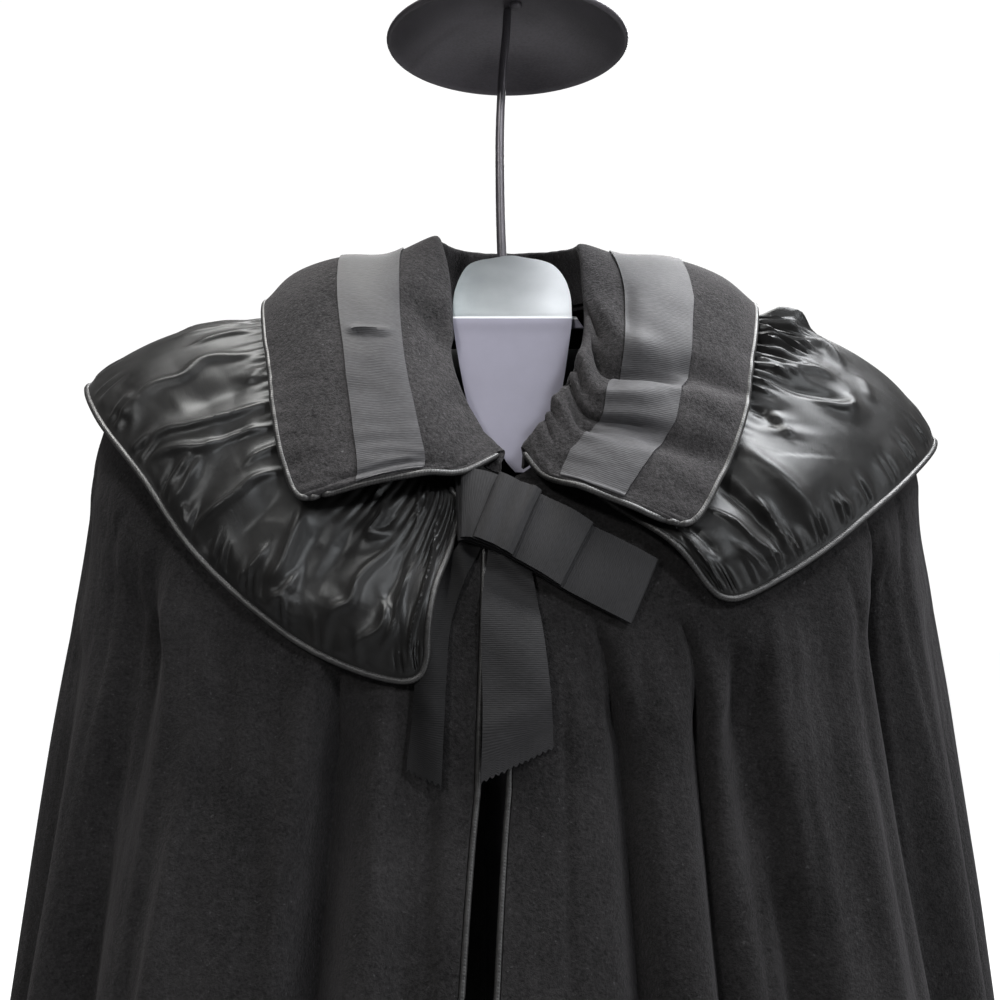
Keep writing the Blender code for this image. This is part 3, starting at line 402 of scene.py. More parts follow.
def readKnots(knots, place):  # Catmull-Rom through knots that differ from point to point
    last = len(knots) - 1
    i = np.clip(np.floor(place).astype(int), 0, last - 1)
    t = (place - i)[..., None]

    def pick(k):
        return np.take_along_axis(knots, np.broadcast_to(k[None, ..., None], (1, *knots.shape[1:])), 0)[0]

    b, c = pick(i), pick(i + 1)
    a = np.where((i > 0)[..., None], pick(np.maximum(i - 1, 0)), 2 * b - c)
    d = np.where((i < last - 1)[..., None], pick(np.minimum(i + 2, last)), 2 * c - b)
    return 0.5 * (2 * b + (c - a) * t + (2 * a - 5 * b + 4 * c - d) * t**2 + (3 * b - a - 3 * c + d) * t**3)


def softNoise(u, v, seed, waves=9):  # smooth uneven field, about -1 to 1, from a few seeded waves
    pick = np.random.default_rng(seed)
    total = np.zeros(np.broadcast(u, v).shape)
    for _ in range(waves):
        turn, size, phase = pick.uniform(0, 2 * np.pi), pick.uniform(0.5, 1.6), pick.uniform(0, 2 * np.pi)
        total = total + np.sin(2 * np.pi * size * (u * np.cos(turn) + v * np.sin(turn)) + phase)
    return total / waves * 1.6


def creased(u, v, rows):  # troughs (depth below 0) and ridges along short lines
    total = np.zeros(np.broadcast(u, v).shape)
    for u0, v0, u1, v1, width, depth in rows:
        du, dv = u1 - u0, v1 - v0
        length = math.hypot(du, dv)
        along = ((u - u0) * du + (v - v0) * dv) / length**2
        away = ((u - u0) * dv - (v - v0) * du) / length
        ends = smoothStep(along / 0.3 + 0.15) * smoothStep((1 - along) / 0.3 + 0.15)
        total = total + depth * ends * np.exp(-((away / width) ** 2))
    return total


def ridged(u, v, rows, stretch):  # width, rise, then the places that a crest runs through
    total = np.zeros(np.broadcast(u, v).shape)
    for width, rise, *path in rows:
        path = np.array(path, float) * (stretch, 1)
        path = smoothRead(path, np.linspace(0, len(path) - 1, 5 * (len(path) - 1) + 1))
        steps = np.diff(path, axis=0)
        lengths = np.hypot(steps[:, 0], steps[:, 1])
        runs = np.concatenate([[0], np.cumsum(lengths)])
        nearest, place = np.full(total.shape, 9.0), np.zeros(total.shape)
        for k, (du, dv) in enumerate(steps):
            x, y = u * stretch - path[k, 0], v - path[k, 1]
            share = np.clip((x * du + y * dv) / lengths[k] ** 2, 0, 1)
            away = np.hypot(x - share * du, y - share * dv)
            closer = away < nearest
            nearest = np.where(closer, away, nearest)
            place = np.where(closer, runs[k] + share * lengths[k], place)
        taper = 0.35 * runs[-1]
        ends = (0.15 + 0.85 * smoothStep(place / taper)) * (0.15 + 0.85
            * smoothStep((runs[-1] - place) / taper))
        crest = 0.5 * np.exp(-((nearest / width) ** 2)) + 0.5 * np.exp(-((nearest / (3.5 * width)) ** 2))
        total = total + rise * ends * crest
    return total


def gridNormals(points, facing=None):
    normals = unit(np.cross(np.gradient(points, axis=0), np.gradient(points, axis=1)))
    if facing is not None:
        normals = normals * np.where(np.sum(normals * facing, -1, keepdims=True) < 0, -1.0, 1.0)
    return normals


def newPiece(name, points, faces, finish, maps=None, sharp=48):
    mesh = bpy.data.meshes.new(name)
    mesh.from_pydata(np.asarray(points, float) * mm, [], faces)
    if maps is not None:
        layer = mesh.uv_layers.new(name="cloth")
        corner = np.empty(len(mesh.loops), dtype=np.int32)
        mesh.loops.foreach_get("vertex_index", corner)
        layer.uv.foreach_set("vector", np.asarray(maps, float)[corner].ravel() * mm)
    shaped = bmesh.new()
    shaped.from_mesh(mesh)
    bmesh.ops.recalc_face_normals(shaped, faces=shaped.faces)
    if shaped.calc_volume(signed=True) < 0:
        bmesh.ops.reverse_faces(shaped, faces=shaped.faces)
    shaped.to_mesh(mesh)
    shaped.free()
    mesh.shade_smooth()
    mesh.set_sharp_from_angle(angle=math.radians(sharp))
    mesh.materials.append(finishes[finish])
    made = bpy.data.objects.new(name, mesh)
    bpy.context.scene.collection.objects.link(made)
    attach(made, "root")
    return made


def gridFaces(rows, columns, start=0, loop=False):
    r, c = np.meshgrid(np.arange(rows if loop else rows - 1), np.arange(columns - 1), indexing="ij")
    n = (r + 1) % rows
    return (np.stack([r * columns + c, r * columns + c + 1, n * columns + c + 1, n * columns + c],
        -1).reshape(-1, 4) + start)


def gridMap(points):  # millimetres along the rows and across them
    down = np.concatenate([[0], np.cumsum(np.linalg.norm(np.diff(points.mean(1), axis=0), axis=-1))])
    over = np.concatenate([np.zeros((len(points), 1)),
        np.cumsum(np.linalg.norm(np.diff(points, axis=1), axis=-1), 1)], 1)
    return np.stack([np.broadcast_to(down[:, None], over.shape), over], -1)


def clothWall(name, middle, normals, thickness, finish, loop=False, turned=False):
    rows, columns = middle.shape[:2]
    half = rows * columns
    points = np.concatenate([(middle + normals * thickness / 2).reshape(-1, 3),
        (middle - normals * thickness / 2).reshape(-1, 3)])
    faces = [gridFaces(rows, columns, 0, loop), gridFaces(rows, columns, half, loop)[:, ::-1]]
    rim = np.arange(rows) if loop else np.arange(rows - 1)
    follow = (rim + 1) % rows
    for c in (0, columns - 1):
        faces.append(np.stack([rim * columns + c, follow * columns + c, follow * columns + c + half,
            rim * columns + c + half], -1))
    if not loop:
        c = np.arange(columns - 1)
        for r in (0, rows - 1):
            faces.append(np.stack([r * columns + c, r * columns + c + 1, r * columns + c + 1 + half,
                r * columns + c + half], -1))
    flat = gridMap(middle).reshape(-1, 2)
    flat = flat[:, ::-1] if turned else flat
    return newPiece(name, points, np.concatenate(faces).tolist(), finish, np.concatenate([flat, flat]))


def resampled(path, spacing):
    path = np.asarray(path, float)
    run = np.concatenate([[0], np.cumsum(np.linalg.norm(np.diff(path, axis=0), axis=-1))])
    even = np.linspace(0, run[-1], max(int(run[-1] / spacing), 2) + 1)
    places = np.interp(even, run, np.arange(len(path)))
    return smoothRead(path, places)


def cordAlong(name, path, radius, finish="cord", sides=10, spacing=1.6, radiusEnd=None, cap=True):
    path = resampled(path, spacing)
    along = unit(np.gradient(path, axis=0))
    across = unit(np.cross(along[0], (0.3, 0.2, 1.0)))
    radii = np.linspace(radius, radiusEnd or radius, len(path))
    if cap:  # rounded ends
        run = np.concatenate([[0], np.cumsum(np.linalg.norm(np.diff(path, axis=0), axis=-1))])
        left = np.minimum(run, run[-1] - run)
        radii = radii * np.sqrt(np.clip(1 - (1 - np.clip(left / radius, 0.05, 1)) ** 2, 0.05, 1))
    rings, maps = [], []
    turns = np.arange(sides + 1) * 2 * np.pi / sides
    for k, (point, direction) in enumerate(zip(path, along)):
        across = unit(across - direction * np.dot(across, direction))
        other = np.cross(direction, across)
        rings.append(point + radii[k] * (np.cos(turns)[:-1, None] * across + np.sin(turns)[:-1,
            None] * other))
        maps.append(np.stack([np.full(sides, k * spacing), turns[:-1] * radius], -1))
    faces = []
    for r in range(len(path) - 1):
        for k in range(sides):
            n = (k + 1) % sides
            faces.append((r * sides + k, r * sides + n, (r + 1) * sides + n, (r + 1) * sides + k))
    faces += [tuple(range(sides))[::-1], tuple((len(path) - 1) * sides + k for k in range(sides))]
    return newPiece(name, np.concatenate(rings), faces, finish, np.concatenate(maps), sharp=60)


def lathed(name, profile, finish, centre=(0.0, 0.0), sides=96, sharp=32):  # profile rows: radius, height
    profile = np.array(profile, float)
    turns = np.arange(sides) * 2 * np.pi / sides
    points = []
    for radius, height in profile:
        radius = max(radius, 0.02)
        points.append(np.stack([centre[0] + radius * np.cos(turns), centre[1] + radius * np.sin(turns),
            np.full(sides, height)], -1))
    faces = []
    for r in range(len(profile) - 1):
        for k in range(sides):
            n = (k + 1) % sides
            faces.append((r * sides + k, r * sides + n, (r + 1) * sides + n, (r + 1) * sides + k))
    faces += [tuple(range(sides))[::-1], tuple((len(profile) - 1) * sides + k for k in range(sides))]
    return newPiece(name, np.concatenate(points), faces, finish, sharp=sharp)


def offEdge(rim, inside, distance):  # a line beside an edge, outside it in the cloth's plane
    along = unit(np.gradient(rim, axis=0))
    away = rim - inside
    away = unit(away - along * np.sum(away * along, -1, keepdims=True))
    return rim + away * distance


# The shoulder surface that all the cloth follows
shoulders = {  # half width, front depth, back depth, heights at side, front and back, squareness
    "rings": (
        (58, 98, 62, 1420, 1302, 1426, 2.0),
        (100, 108, 84, 1418, 1281, 1417, 2.05),
        (150, 117, 104, 1407, 1261, 1396, 2.15),
        (200, 125, 119, 1391, 1238, 1362, 2.3),
        (234, 131, 128, 1370, 1214, 1328, 2.4),
        (251, 136, 134, 1346, 1192, 1298, 2.45),
        (258, 141, 139, 1316, 1170, 1270, 2.45),
        (261, 148, 145, 1276, 1140, 1234, 2.4),
        (279, 168, 162, 1162, 1068, 1130, 2.3),
        (304, 200, 194, 975, 945, 970, 2.2),
        (348, 246, 238, 660, 650, 660, 2.1),
        (392, 300, 290, 322, 322, 322, 2.0),
    ),
    "sharpness": 1.6,
}
hemLevel = len(shoulders["rings"]) - 1.0


def ringAt(level):
    return readRows(shoulders["rings"], np.asarray(level, float) / hemLevel)


def surfaceAt(angle, level):
    angle, level = np.broadcast_arrays(np.asarray(angle, float), np.asarray(level, float))
    width, front, back, sideZ, frontZ, backZ, square = ringAt(level)
    sine, cosine = np.sin(np.radians(angle)), np.cos(np.radians(angle))
    x = width * np.sign(sine) * np.abs(sine) ** (2 / square)
    y = np.where(cosine > 0, -front, back) * np.abs(cosine) ** (2 / square)
    rise = (np.where(cosine > 0, frontZ, backZ) - sideZ) * np.abs(cosine) ** shoulders["sharpness"]
    return np.stack([x, y, sideZ + rise], -1)


def outwardAt(angle, level):
    angle, level = np.broadcast_arrays(np.asarray(angle, float), np.asarray(level, float))
    along = surfaceAt(angle + 0.05, level) - surfaceAt(angle - 0.05, level)
    down = surfaceAt(angle, level + 0.01) - surfaceAt(angle, level - 0.01)
    return -unit(np.cross(along, down))


def lifted(angle, level, lift):
    return surfaceAt(angle, level) + outwardAt(angle, level) * np.asarray(lift, float)[..., None]


def locateFront(x, z):  # angle and level of a front point, by Newton steps
    x, z = np.broadcast_arrays(np.asarray(x, float), np.asarray(z, float))
    angle, level = np.degrees(np.arcsin(np.clip(x / 262, -0.9, 0.9))), np.full(x.shape, 2.0)
    for _ in range(30):
        here = surfaceAt(angle, level)
        byAngle = (surfaceAt(angle + 0.05, level) - here) / 0.05
        byLevel = (surfaceAt(angle, level + 0.01) - here) / 0.01
        missX, missZ = x - here[..., 0], z - here[..., 2]
        det = byAngle[..., 0] * byLevel[..., 2] - byLevel[..., 0] * byAngle[..., 2]
        angle = angle + np.clip((missX * byLevel[..., 2] - byLevel[..., 0] * missZ) / det, -8, 8)
        level = np.clip(level + np.clip((byAngle[..., 0] * missZ - missX * byAngle[..., 2]) / det, -1, 1),
            0, hemLevel)
    return angle, level


# Wool body
body = {
    "thickness": 2.2,
    "sideSeam": 95.0,
    "seamGap": 0.03,  # left open at each side of a seam
    "hemSwell": 18.0,
    "frontEdges": ((0, -10, 4), (4, -12, 4), (7, -14, 2), (8.2, -21, -4), (9, -32, -12), (10, -50, -22),
    (11, -76, -34)),
    # angle at the top, angle at the hem, half width,
    # depth at the chest, depth at the hem, level where it starts
    "folds": (
        (8.3, 14, 2.3, 12, 40, 3.0), (16.8, 23, 2.0, 10, 35, 3.6), (22.5, 32, 2.6, 13, 43, 3.8),
        (36, 43, 4.2, 2, 32, 7.8), (53, 56, 5.0, 14, 46, 5.0), (70, 71, 5.0, 3, 35, 7.2),
        (86, 85, 4.6, 9, 40, 5.6), (102, 101, 5.2, 5, 40, 6.6), (117, 118, 5.0, 11, 46, 5.6),
        (134, 133, 4.6, 6, 35, 6.4), (147, 149, 5.0, 12, 46, 5.0), (165, 164, 5.0, 7, 40, 5.6),
        (-179, -178, 4.6, 11, 43, 4.8), (-161, -162, 4.8, 6, 36, 6.2), (-145, -146, 5.2, 12, 46, 5.0),
        (-128, -130, 4.8, 6, 38, 6.4), (-113, -114, 5.0, 10, 43, 5.6), (-98, -97, 4.8, 5, 38, 6.8),
        (-82, -82, 4.6, 9, 40, 5.8), (-66, -67, 4.8, 3, 36, 7.4), (-50, -51, 4.6, 13, 43, 5.0),
        (-31, -33, 4.2, 2, 32, 7.8), (-13, -20, 2.9, 18, 45, 4.0), (-5.6, -9, 1.8, 5, 16, 4.4),
    ),
    # smaller creases: angle and level at each end, half width in degrees, depth
    "creases": (
        (6.4, 4.2, 7.6, 6.4, 0.9, -2.2), (12.2, 4.4, 12.9, 7.4, 1.1, -2.0),
        (19.6, 4.9, 20.6, 7.9, 1.0, -1.8),
        (27.5, 5.0, 28.5, 8.2, 1.3, -1.6), (33.0, 5.2, 33.6, 8.6, 1.2, 1.4),
        (45.5, 5.6, 44.0, 8.8, 1.5, -2.4),
        (62.0, 5.0, 61.0, 8.0, 1.6, -2.0), (-9.4, 5.0, -11.8, 8.0, 1.0, 2.2),
        (-21.5, 5.3, -25.5, 8.8, 1.5, -1.8),
        (-27.0, 5.1, -28.5, 7.6, 1.3, 1.6), (-37.5, 5.4, -36.0, 8.4, 1.6, -2.0),
        (-43.0, 5.4, -40.0, 8.6, 1.2, 2.2),
        (-58.0, 5.2, -57.0, 8.1, 1.8, -1.8), (-74.0, 5.6, -75.0, 8.4, 1.8, 1.6),
        (78.0, 5.4, 77.0, 8.2, 1.7, 1.8),
        (94.0, 5.5, 93.0, 8.8, 1.8, -1.7), (110.0, 5.2, 109.0, 8.2, 1.6, 1.6),
        (126.0, 4.9, 125.0, 8.6, 1.7, -1.9),
        (141.0, 5.2, 141.0, 7.8, 1.4, 1.5), (156.0, 4.9, 157.0, 8.4, 1.6, -1.8),
        (173.0, 5.0, 172.0, 8.0, 1.5, 1.6),
        (-105.0, 5.3, -106.0, 8.6, 1.8, 1.7), (-121.0, 5.0, -120.0, 8.0, 1.7, -1.7),
        (-137.0, 5.1, -138.0, 8.5, 1.6, 1.6),
        (-153.0, 5.0, -152.0, 8.3, 1.6, -1.8), (-170.0, 5.2, -171.0, 8.6, 1.5, 1.5),
        (-15.2, 4.7, -18.9, 9.4, 0.9, -8.0), (-17.6, 4.9, -21.6, 9.2, 1.7, 5.0),
        (-49.0, 6.2, -35.6, 9.2, 1.5, -9.0), (-45.4, 6.4, -32.6, 9.0, 2.2, 4.0),
        (9.4, 3.6, 8.7, 6.4, 0.75, -6.0), (8.6, 5.0, 12.6, 9.6, 0.75, -8.0),
        (10.4, 5.0, 14.4, 9.0, 1.2, 2.8),
        (19.4, 3.9, 18.9, 6.8, 0.75, -6.0), (18.8, 5.6, 19.8, 9.4, 0.8, -7.0),
        (20.4, 5.6, 21.4, 9.2, 1.0, 2.4),
        (22.9, 5.4, 25.4, 9.4, 1.5, -8.0), (28.4, 5.4, 30.4, 9.0, 2.4, 4.0),
        (51.5, 5.4, 55.0, 7.3, 1.3, -5.0), (55.0, 6.8, 40.6, 9.2, 1.4, -7.0),
        (50.5, 6.6, 37.6, 9.0, 2.2, 4.0),
        (4.2, 4.9, 4.8, 8.8, 0.6, -2.0), (-5.4, 5.0, -5.9, 8.8, 0.7, -3.0),
    ),
}


def foldRelief(angle, level):
    angle, level = np.broadcast_arrays(np.asarray(angle, float), np.asarray(level, float))
    down = smoothStep((level - 7) / (hemLevel - 7))
    total = body["hemSwell"] * down
    for top, hem, spread, chest, foot, begin in body["folds"]:
        middle = top + (hem - top) * np.clip((level - 4) / (hemLevel - 4), 0, 1)
        away = (angle - middle + 180) % 360 - 180
        depth = (chest + (foot - chest) * down) * smoothStep((level - begin) / (7.5 - begin))
        total = total - depth * np.exp(-((away / (spread * (1 + 0.25 * down))) ** 2))
    return total


def bodyAt(angle, level):
    angle, level = np.broadcast_arrays(np.asarray(angle, float), np.asarray(level, float))
    wrapped = (angle + 180) % 360 - 180
    relief = foldRelief(angle, level) + creased(wrapped, level, body["creases"])
    loose = smoothStep((level - 4.4) / 1.5)
    relief = relief + loose * (0.9 * softNoise(angle / 9, level * 1.1, 3) + 0.22 * softNoise(angle / 2.6,
        level * 1.6, 4))
    return lifted(angle, level, relief)


def edgeAngle(level, side, inset=0.0):
    rows = np.array(body["frontEdges"], float)
    x = np.interp(level, rows[:, 0], rows[:, 2 if side == "left" else 1])
    x = x + (inset if side == "left" else -inset)
    ring = ringAt(level)
    return np.sign(x) * np.degrees(np.arcsin(np.clip(np.abs(x) / ring[0], 0, 1) ** (ring[6] / 2)))


def makeBody():
    levels = np.concatenate([np.linspace(0, 3, 14)[:-1], np.linspace(3, 8.6, 70)[:-1],
        np.linspace(8.6, hemLevel, 50)])[:, None]
    ring = ringAt(levels)
    for side, sign in (("right", -1), ("left", 1)):
        start = edgeAngle(levels, side, 1.9)
        share = np.linspace(0, 1, 210) ** 1.12
        sideEnd = sign * (body["sideSeam"] - np.degrees(body["seamGap"] / ring[1]))
        angles = start + (sideEnd - start) * share
        addPanel(f"{side}Front", angles, levels, f"{side}_front")
        start = sign * (body["sideSeam"] + np.degrees(body["seamGap"] / ring[1]))
        backEnd = sign * (180 - np.degrees(body["seamGap"] / ring[0]))
        angles = start + (backEnd - start) * np.linspace(0, 1, 100)
        addPanel(f"{side}Back", angles, levels, f"{side}_back")


def addPanel(name, angles, levels, node):
    angles, levels = np.broadcast_arrays(angles, levels)
    middle = bodyAt(angles, levels)
    normals = gridNormals(middle, outwardAt(angles, levels))
    # the body panels use the wool darkened as painted shade
    made = clothWall(name, middle, normals, body["thickness"], "shadeDarkenedWool")
    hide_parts(node)


def makeFrontCords():
    levels = np.linspace(0.02, hemLevel, 260)
    for side in ("right", "left"):
        angles = edgeAngle(levels, side)
        made = cordAlong(f"{side}FrontCord", bodyAt(angles, levels), 1.7, spacing=2.2)
        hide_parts(f"{side}_front_piping")


makeBody()
makeFrontCords()
print("wool body ready")


# Collar
collar = {
    "thickness": 2.2,
    # neck angle, edge angle, edge level, fan, stand, lean,
    # then the lift at the roll, middle, outer part and edge
    "sections": (
        (-2, -32, 2.48, 0.42, 12, 3, 14, 22, 23, 20),
        (-9, -34, 2.64, 0.5, 16, 7, 16, 22, 23, 20),
        (-22, -40, 2.50, 0.7, 20, 9, 19, 23, 23, 18),
        (-38, -51, 2.24, 0.9, 27, 7, 23, 25, 23, 16),
        (-60, -65, 2.03, 1.0, 35, 18, 28, 28, 25, 15),
        (-90, -90, 1.98, 1.0, 39, 14, 30, 30, 26, 15),
        (-120, -119, 2.0, 1.0, 38, 14, 30, 29, 25, 15),
        (-150, -149, 2.05, 1.0, 36, 10, 29, 28, 25, 15),
        (180, 180, 2.08, 1.0, 36, 8, 28, 28, 25, 15),
        (150, 149, 2.08, 1.0, 36, 8, 28, 28, 25, 15),
        (120, 119, 2.1, 1.0, 35, 10, 29, 29, 25, 15),
        (90, 90, 2.12, 1.0, 34, 9, 30, 30, 26, 15),
        (62, 66, 2.16, 1.0, 33, 1, 28, 28, 25, 15),
        (42, 52, 2.34, 0.9, 27, -12, 23, 25, 23, 16),
        (27, 38, 2.55, 0.8, 20, -8, 19, 23, 23, 18),
        (17, 29, 2.74, 0.9, 16, -7, 16, 22, 23, 20),
        (10, 26, 2.60, 0.62, 11, -6, 14, 22, 23, 20),
    ),
    "puckers": ((0.795, 0.012, 5.0), (0.862, 0.012, 4.0)),  # station, half width, depth
    "corner": (0.05, 0.085),  # how far the rounding of a corner reaches, in stations and in steps
    # creases in the cloth: station x 6 and step at each end, half width, depth
    "creases": (
        (1.60, 0.46, 1.20, 0.36, 0.028, -3.4), (1.54, 0.39, 1.22, 0.31, 0.04, 2.4),
        (1.05, 0.42, 0.75, 0.34, 0.03, -1.2),
        (4.35, 0.51, 4.66, 0.56, 0.03, -1.8), (4.50, 0.40, 4.70, 0.66, 0.05, 3.0),
        (4.76, 0.36, 4.85, 0.80, 0.030, -5.0),
        (4.90, 0.28, 4.97, 0.74, 0.04, 3.0), (5.08, 0.24, 5.11, 0.80, 0.024, -4.0),
        (5.20, 0.20, 5.26, 0.66, 0.04, 2.2),
        (5.40, 0.16, 5.50, 0.46, 0.04, -2.0), (4.84, 0.62, 4.92, 0.98, 0.05, 1.2),
        (5.12, 0.60, 5.18, 0.96, 0.05, -1.3),
        (4.62, 0.28, 4.70, 0.46, 0.03, -3.0), (4.98, 0.24, 5.00, 0.46, 0.02, -3.2),
        (5.30, 0.18, 5.34, 0.42, 0.025, -2.6),
        (0.50, 0.55, 0.36, 0.92, 0.05, -0.9), (1.80, 0.62, 1.86, 0.98, 0.06, 0.9),
        (2.50, 0.50, 2.56, 0.95, 0.06, -1.1),
        (3.02, 0.48, 2.98, 0.94, 0.06, 1.0), (3.60, 0.50, 3.54, 0.96, 0.05, -1.0),
        (4.05, 0.55, 4.08, 0.95, 0.06, 0.9),
    ),
    "ribbonEdges": (  # station, then the steps of the ribbon's two edges
        (0, 0.66, 0.86), (0.08, 0.592, 0.795), (0.18, 0.522, 0.735), (0.228, 0.495, 0.708),
        (0.262, 0.475, 0.695),
        (0.31, 0.452, 0.67), (0.70, 0.46, 0.70), (0.732, 0.51, 0.742), (0.776, 0.552, 0.768),
        (0.80, 0.565, 0.775),
        (0.812, 0.535, 0.765), (0.842, 0.56, 0.785), (0.856, 0.545, 0.775), (0.90, 0.52, 0.765),
        (0.93, 0.535, 0.768),
        (1, 0.585, 0.81),
    ),
}


def collarAt(station, step):
    station, step = np.broadcast_arrays(np.asarray(station, float), np.asarray(step, float))
    row = readRows(collar["sections"], np.clip(station, -0.02, 1.02), angles=(0, 1))
    neckAngle, edgeAngleHere, edgeLevel, fan, stand, lean = row[:6]
    up = np.array((0.0, 0.0, 1.0))
    inward = -unit(surfaceAt(neckAngle, 0.0) * (1, 1, 0) - (0.0, -18.0, 0.0))
    seam = surfaceAt(neckAngle, 0.0) + unit(up + inward * 0.15) * 3.0
    roll = seam + up * stand[..., None] + inward * lean[..., None]
    rising = (seam + roll) / 2 - inward * (0.06 * stand)[..., None]
    fall = []
    for share, lift in zip((0.2, 0.5, 0.78, 1.0), row[6:]):
        fall.append(lifted(neckAngle + (edgeAngleHere - neckAngle) * share**fan, edgeLevel * share, lift))
    knots = np.stack([seam, rising, roll, *fall])
    point = readKnots(knots, step * (len(knots) - 1))
    sag = sum(depth * np.exp(-(((station - middle) / width) ** 2)) for middle, width,
        depth in collar["puckers"])
    sag = sag * smoothStep((step - 0.35) / 0.15) * smoothStep((1.15 - step) / 0.3)
    return point - np.array((0.0, -0.75, 0.66)) * sag[..., None]


def collarFacing(station, step):
    along = collarAt(station + 0.002, step) - collarAt(station - 0.002, step)
    over = collarAt(station, step + 0.01) - collarAt(station, step - 0.01)
    return unit(np.cross(along, over))


def collarRelief(station, step):
    relief = creased(station * 6, step, collar["creases"])
    loose = smoothStep((step - 0.05) / 0.2)
    relief = relief + loose * (0.5 * softNoise(station * 16, step * 1.6,
        21) + 0.22 * softNoise(station * 44, step * 4, 22))
    ripple = smoothStep((step - 0.8) / 0.2) * np.sin(station * 260 + 3 * np.sin(station * 31)) * 0.22
    return relief + ripple


def dressedCollar(station, step):
    station, step = np.broadcast_arrays(np.asarray(station, float), np.asarray(step, float))
    return collarAt(station, step) + collarFacing(station, step) * collarRelief(station, step)[..., None]


def roundedRim(station, reach, depth):  # outermost step at each station, with rounded corners at the fronts
    fromEnd = np.clip(np.minimum(station, 1 - station) / reach, 0, 1)
    return 1 - depth * (1 - np.sqrt(1 - (1 - fromEnd) ** 2))


def rimPath(at, reach, depth, first, last, offset):  # up one front edge, round the rim and down the other
    bend = reach * (1 - np.cos(np.linspace(0, np.pi / 2, 14)))
    stations = np.concatenate([bend, np.linspace(reach, 1 - reach, 300)[1:-1], 1 - bend[::-1]])
    rims = roundedRim(stations, reach, depth)
    steps = np.concatenate([np.linspace(first, rims[0], 40)[:-1], rims,
        np.linspace(rims[-1], last, 40)[1:]])
    stations = np.concatenate([np.zeros(39), stations, np.ones(39)])
    inside = at(np.clip(stations, 0.012, 0.988), np.minimum(steps, steps - 0.02 * (steps > 0.9)))
    path = at(stations, steps)
    return offEdge(path, inside, offset)


def ribbonSteps(station):
    rows = np.array(collar["ribbonEdges"], float)
    return np.interp(station, rows[:, 0], rows[:, 1]), np.interp(station, rows[:, 0], rows[:, 2])


def makeCollar():
    even = np.linspace(0, 1, 320)
    stations = (even - 0.035 * np.sin(4 * np.pi * even) / np.pi)[:, None]
    steps = np.linspace(0, 1, 76)[None, :] * roundedRim(stations, *collar["corner"])
    stations, steps = np.broadcast_arrays(stations, steps)
    middle = dressedCollar(stations, steps)
    made = clothWall("collarCloth", middle, gridNormals(middle, collarFacing(stations, steps)),
        collar["thickness"], "wool")
    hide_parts("collar")


# a tuck and the folds of the ribbon: station x 6 and share of its width at each end, half width, depth
ribbonCut = {
    "thickness": 0.8,
    "folds": (
        (1.452, 0.95, 1.436, 0.10, 0.012, 2.6), (1.428, 0.92, 1.412, 0.14, 0.012, -1.6),
        (4.70, 0.1, 4.74, 0.9, 0.05, 1.0), (4.79, 0.0, 4.84, 1.0, 0.028, -1.0),
        (4.90, 0.1, 4.93, 0.9, 0.03, 1.0),
        (5.11, 0.0, 5.10, 1.0, 0.022, -1.0), (5.19, 0.1, 5.21, 0.9, 0.03, 0.9),
        (0.55, 0.1, 0.50, 0.9, 0.04, 0.5), (2.40, 0.1, 2.44, 0.9, 0.05, 0.5),
        (3.50, 0.1, 3.46, 0.9, 0.05, 0.5),
    ),
}


def makeRibbon():
    stations = np.linspace(0.011, 0.985, 420)[:, None]  # stops short of the piped front edges
    shares = np.linspace(0, 1, 26)[None, :]
    stations, shares = np.broadcast_arrays(stations, shares)
    inner, outer = ribbonSteps(stations)
    steps = inner + (outer - inner) * shares
    facing = collarFacing(stations, steps)
    base = dressedCollar(stations, steps)
    relief = creased(stations * 6, shares, ribbonCut["folds"])
    rise = collar["thickness"] / 2 + ribbonCut["thickness"] / 2 + 0.35 + np.maximum(relief,
        -0.2) + 0.12 * np.sin(stations * 190) * np.abs(shares - 0.5) * 2
    middle = base + facing * rise[..., None]
    made = clothWall("collarRibbon", middle, gridNormals(middle, facing), ribbonCut["thickness"], "ribbon")
    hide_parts("collar_ribbon")


def makeCollarCord():
    path = rimPath(dressedCollar, *collar["corner"], 0.36, 0.36, 1.5)
    made = cordAlong("collarCord", path, 1.8, spacing=1.5)
    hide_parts("collar_piping")


makeCollar()
makeRibbon()
makeCollarCord()
print("collar ready")


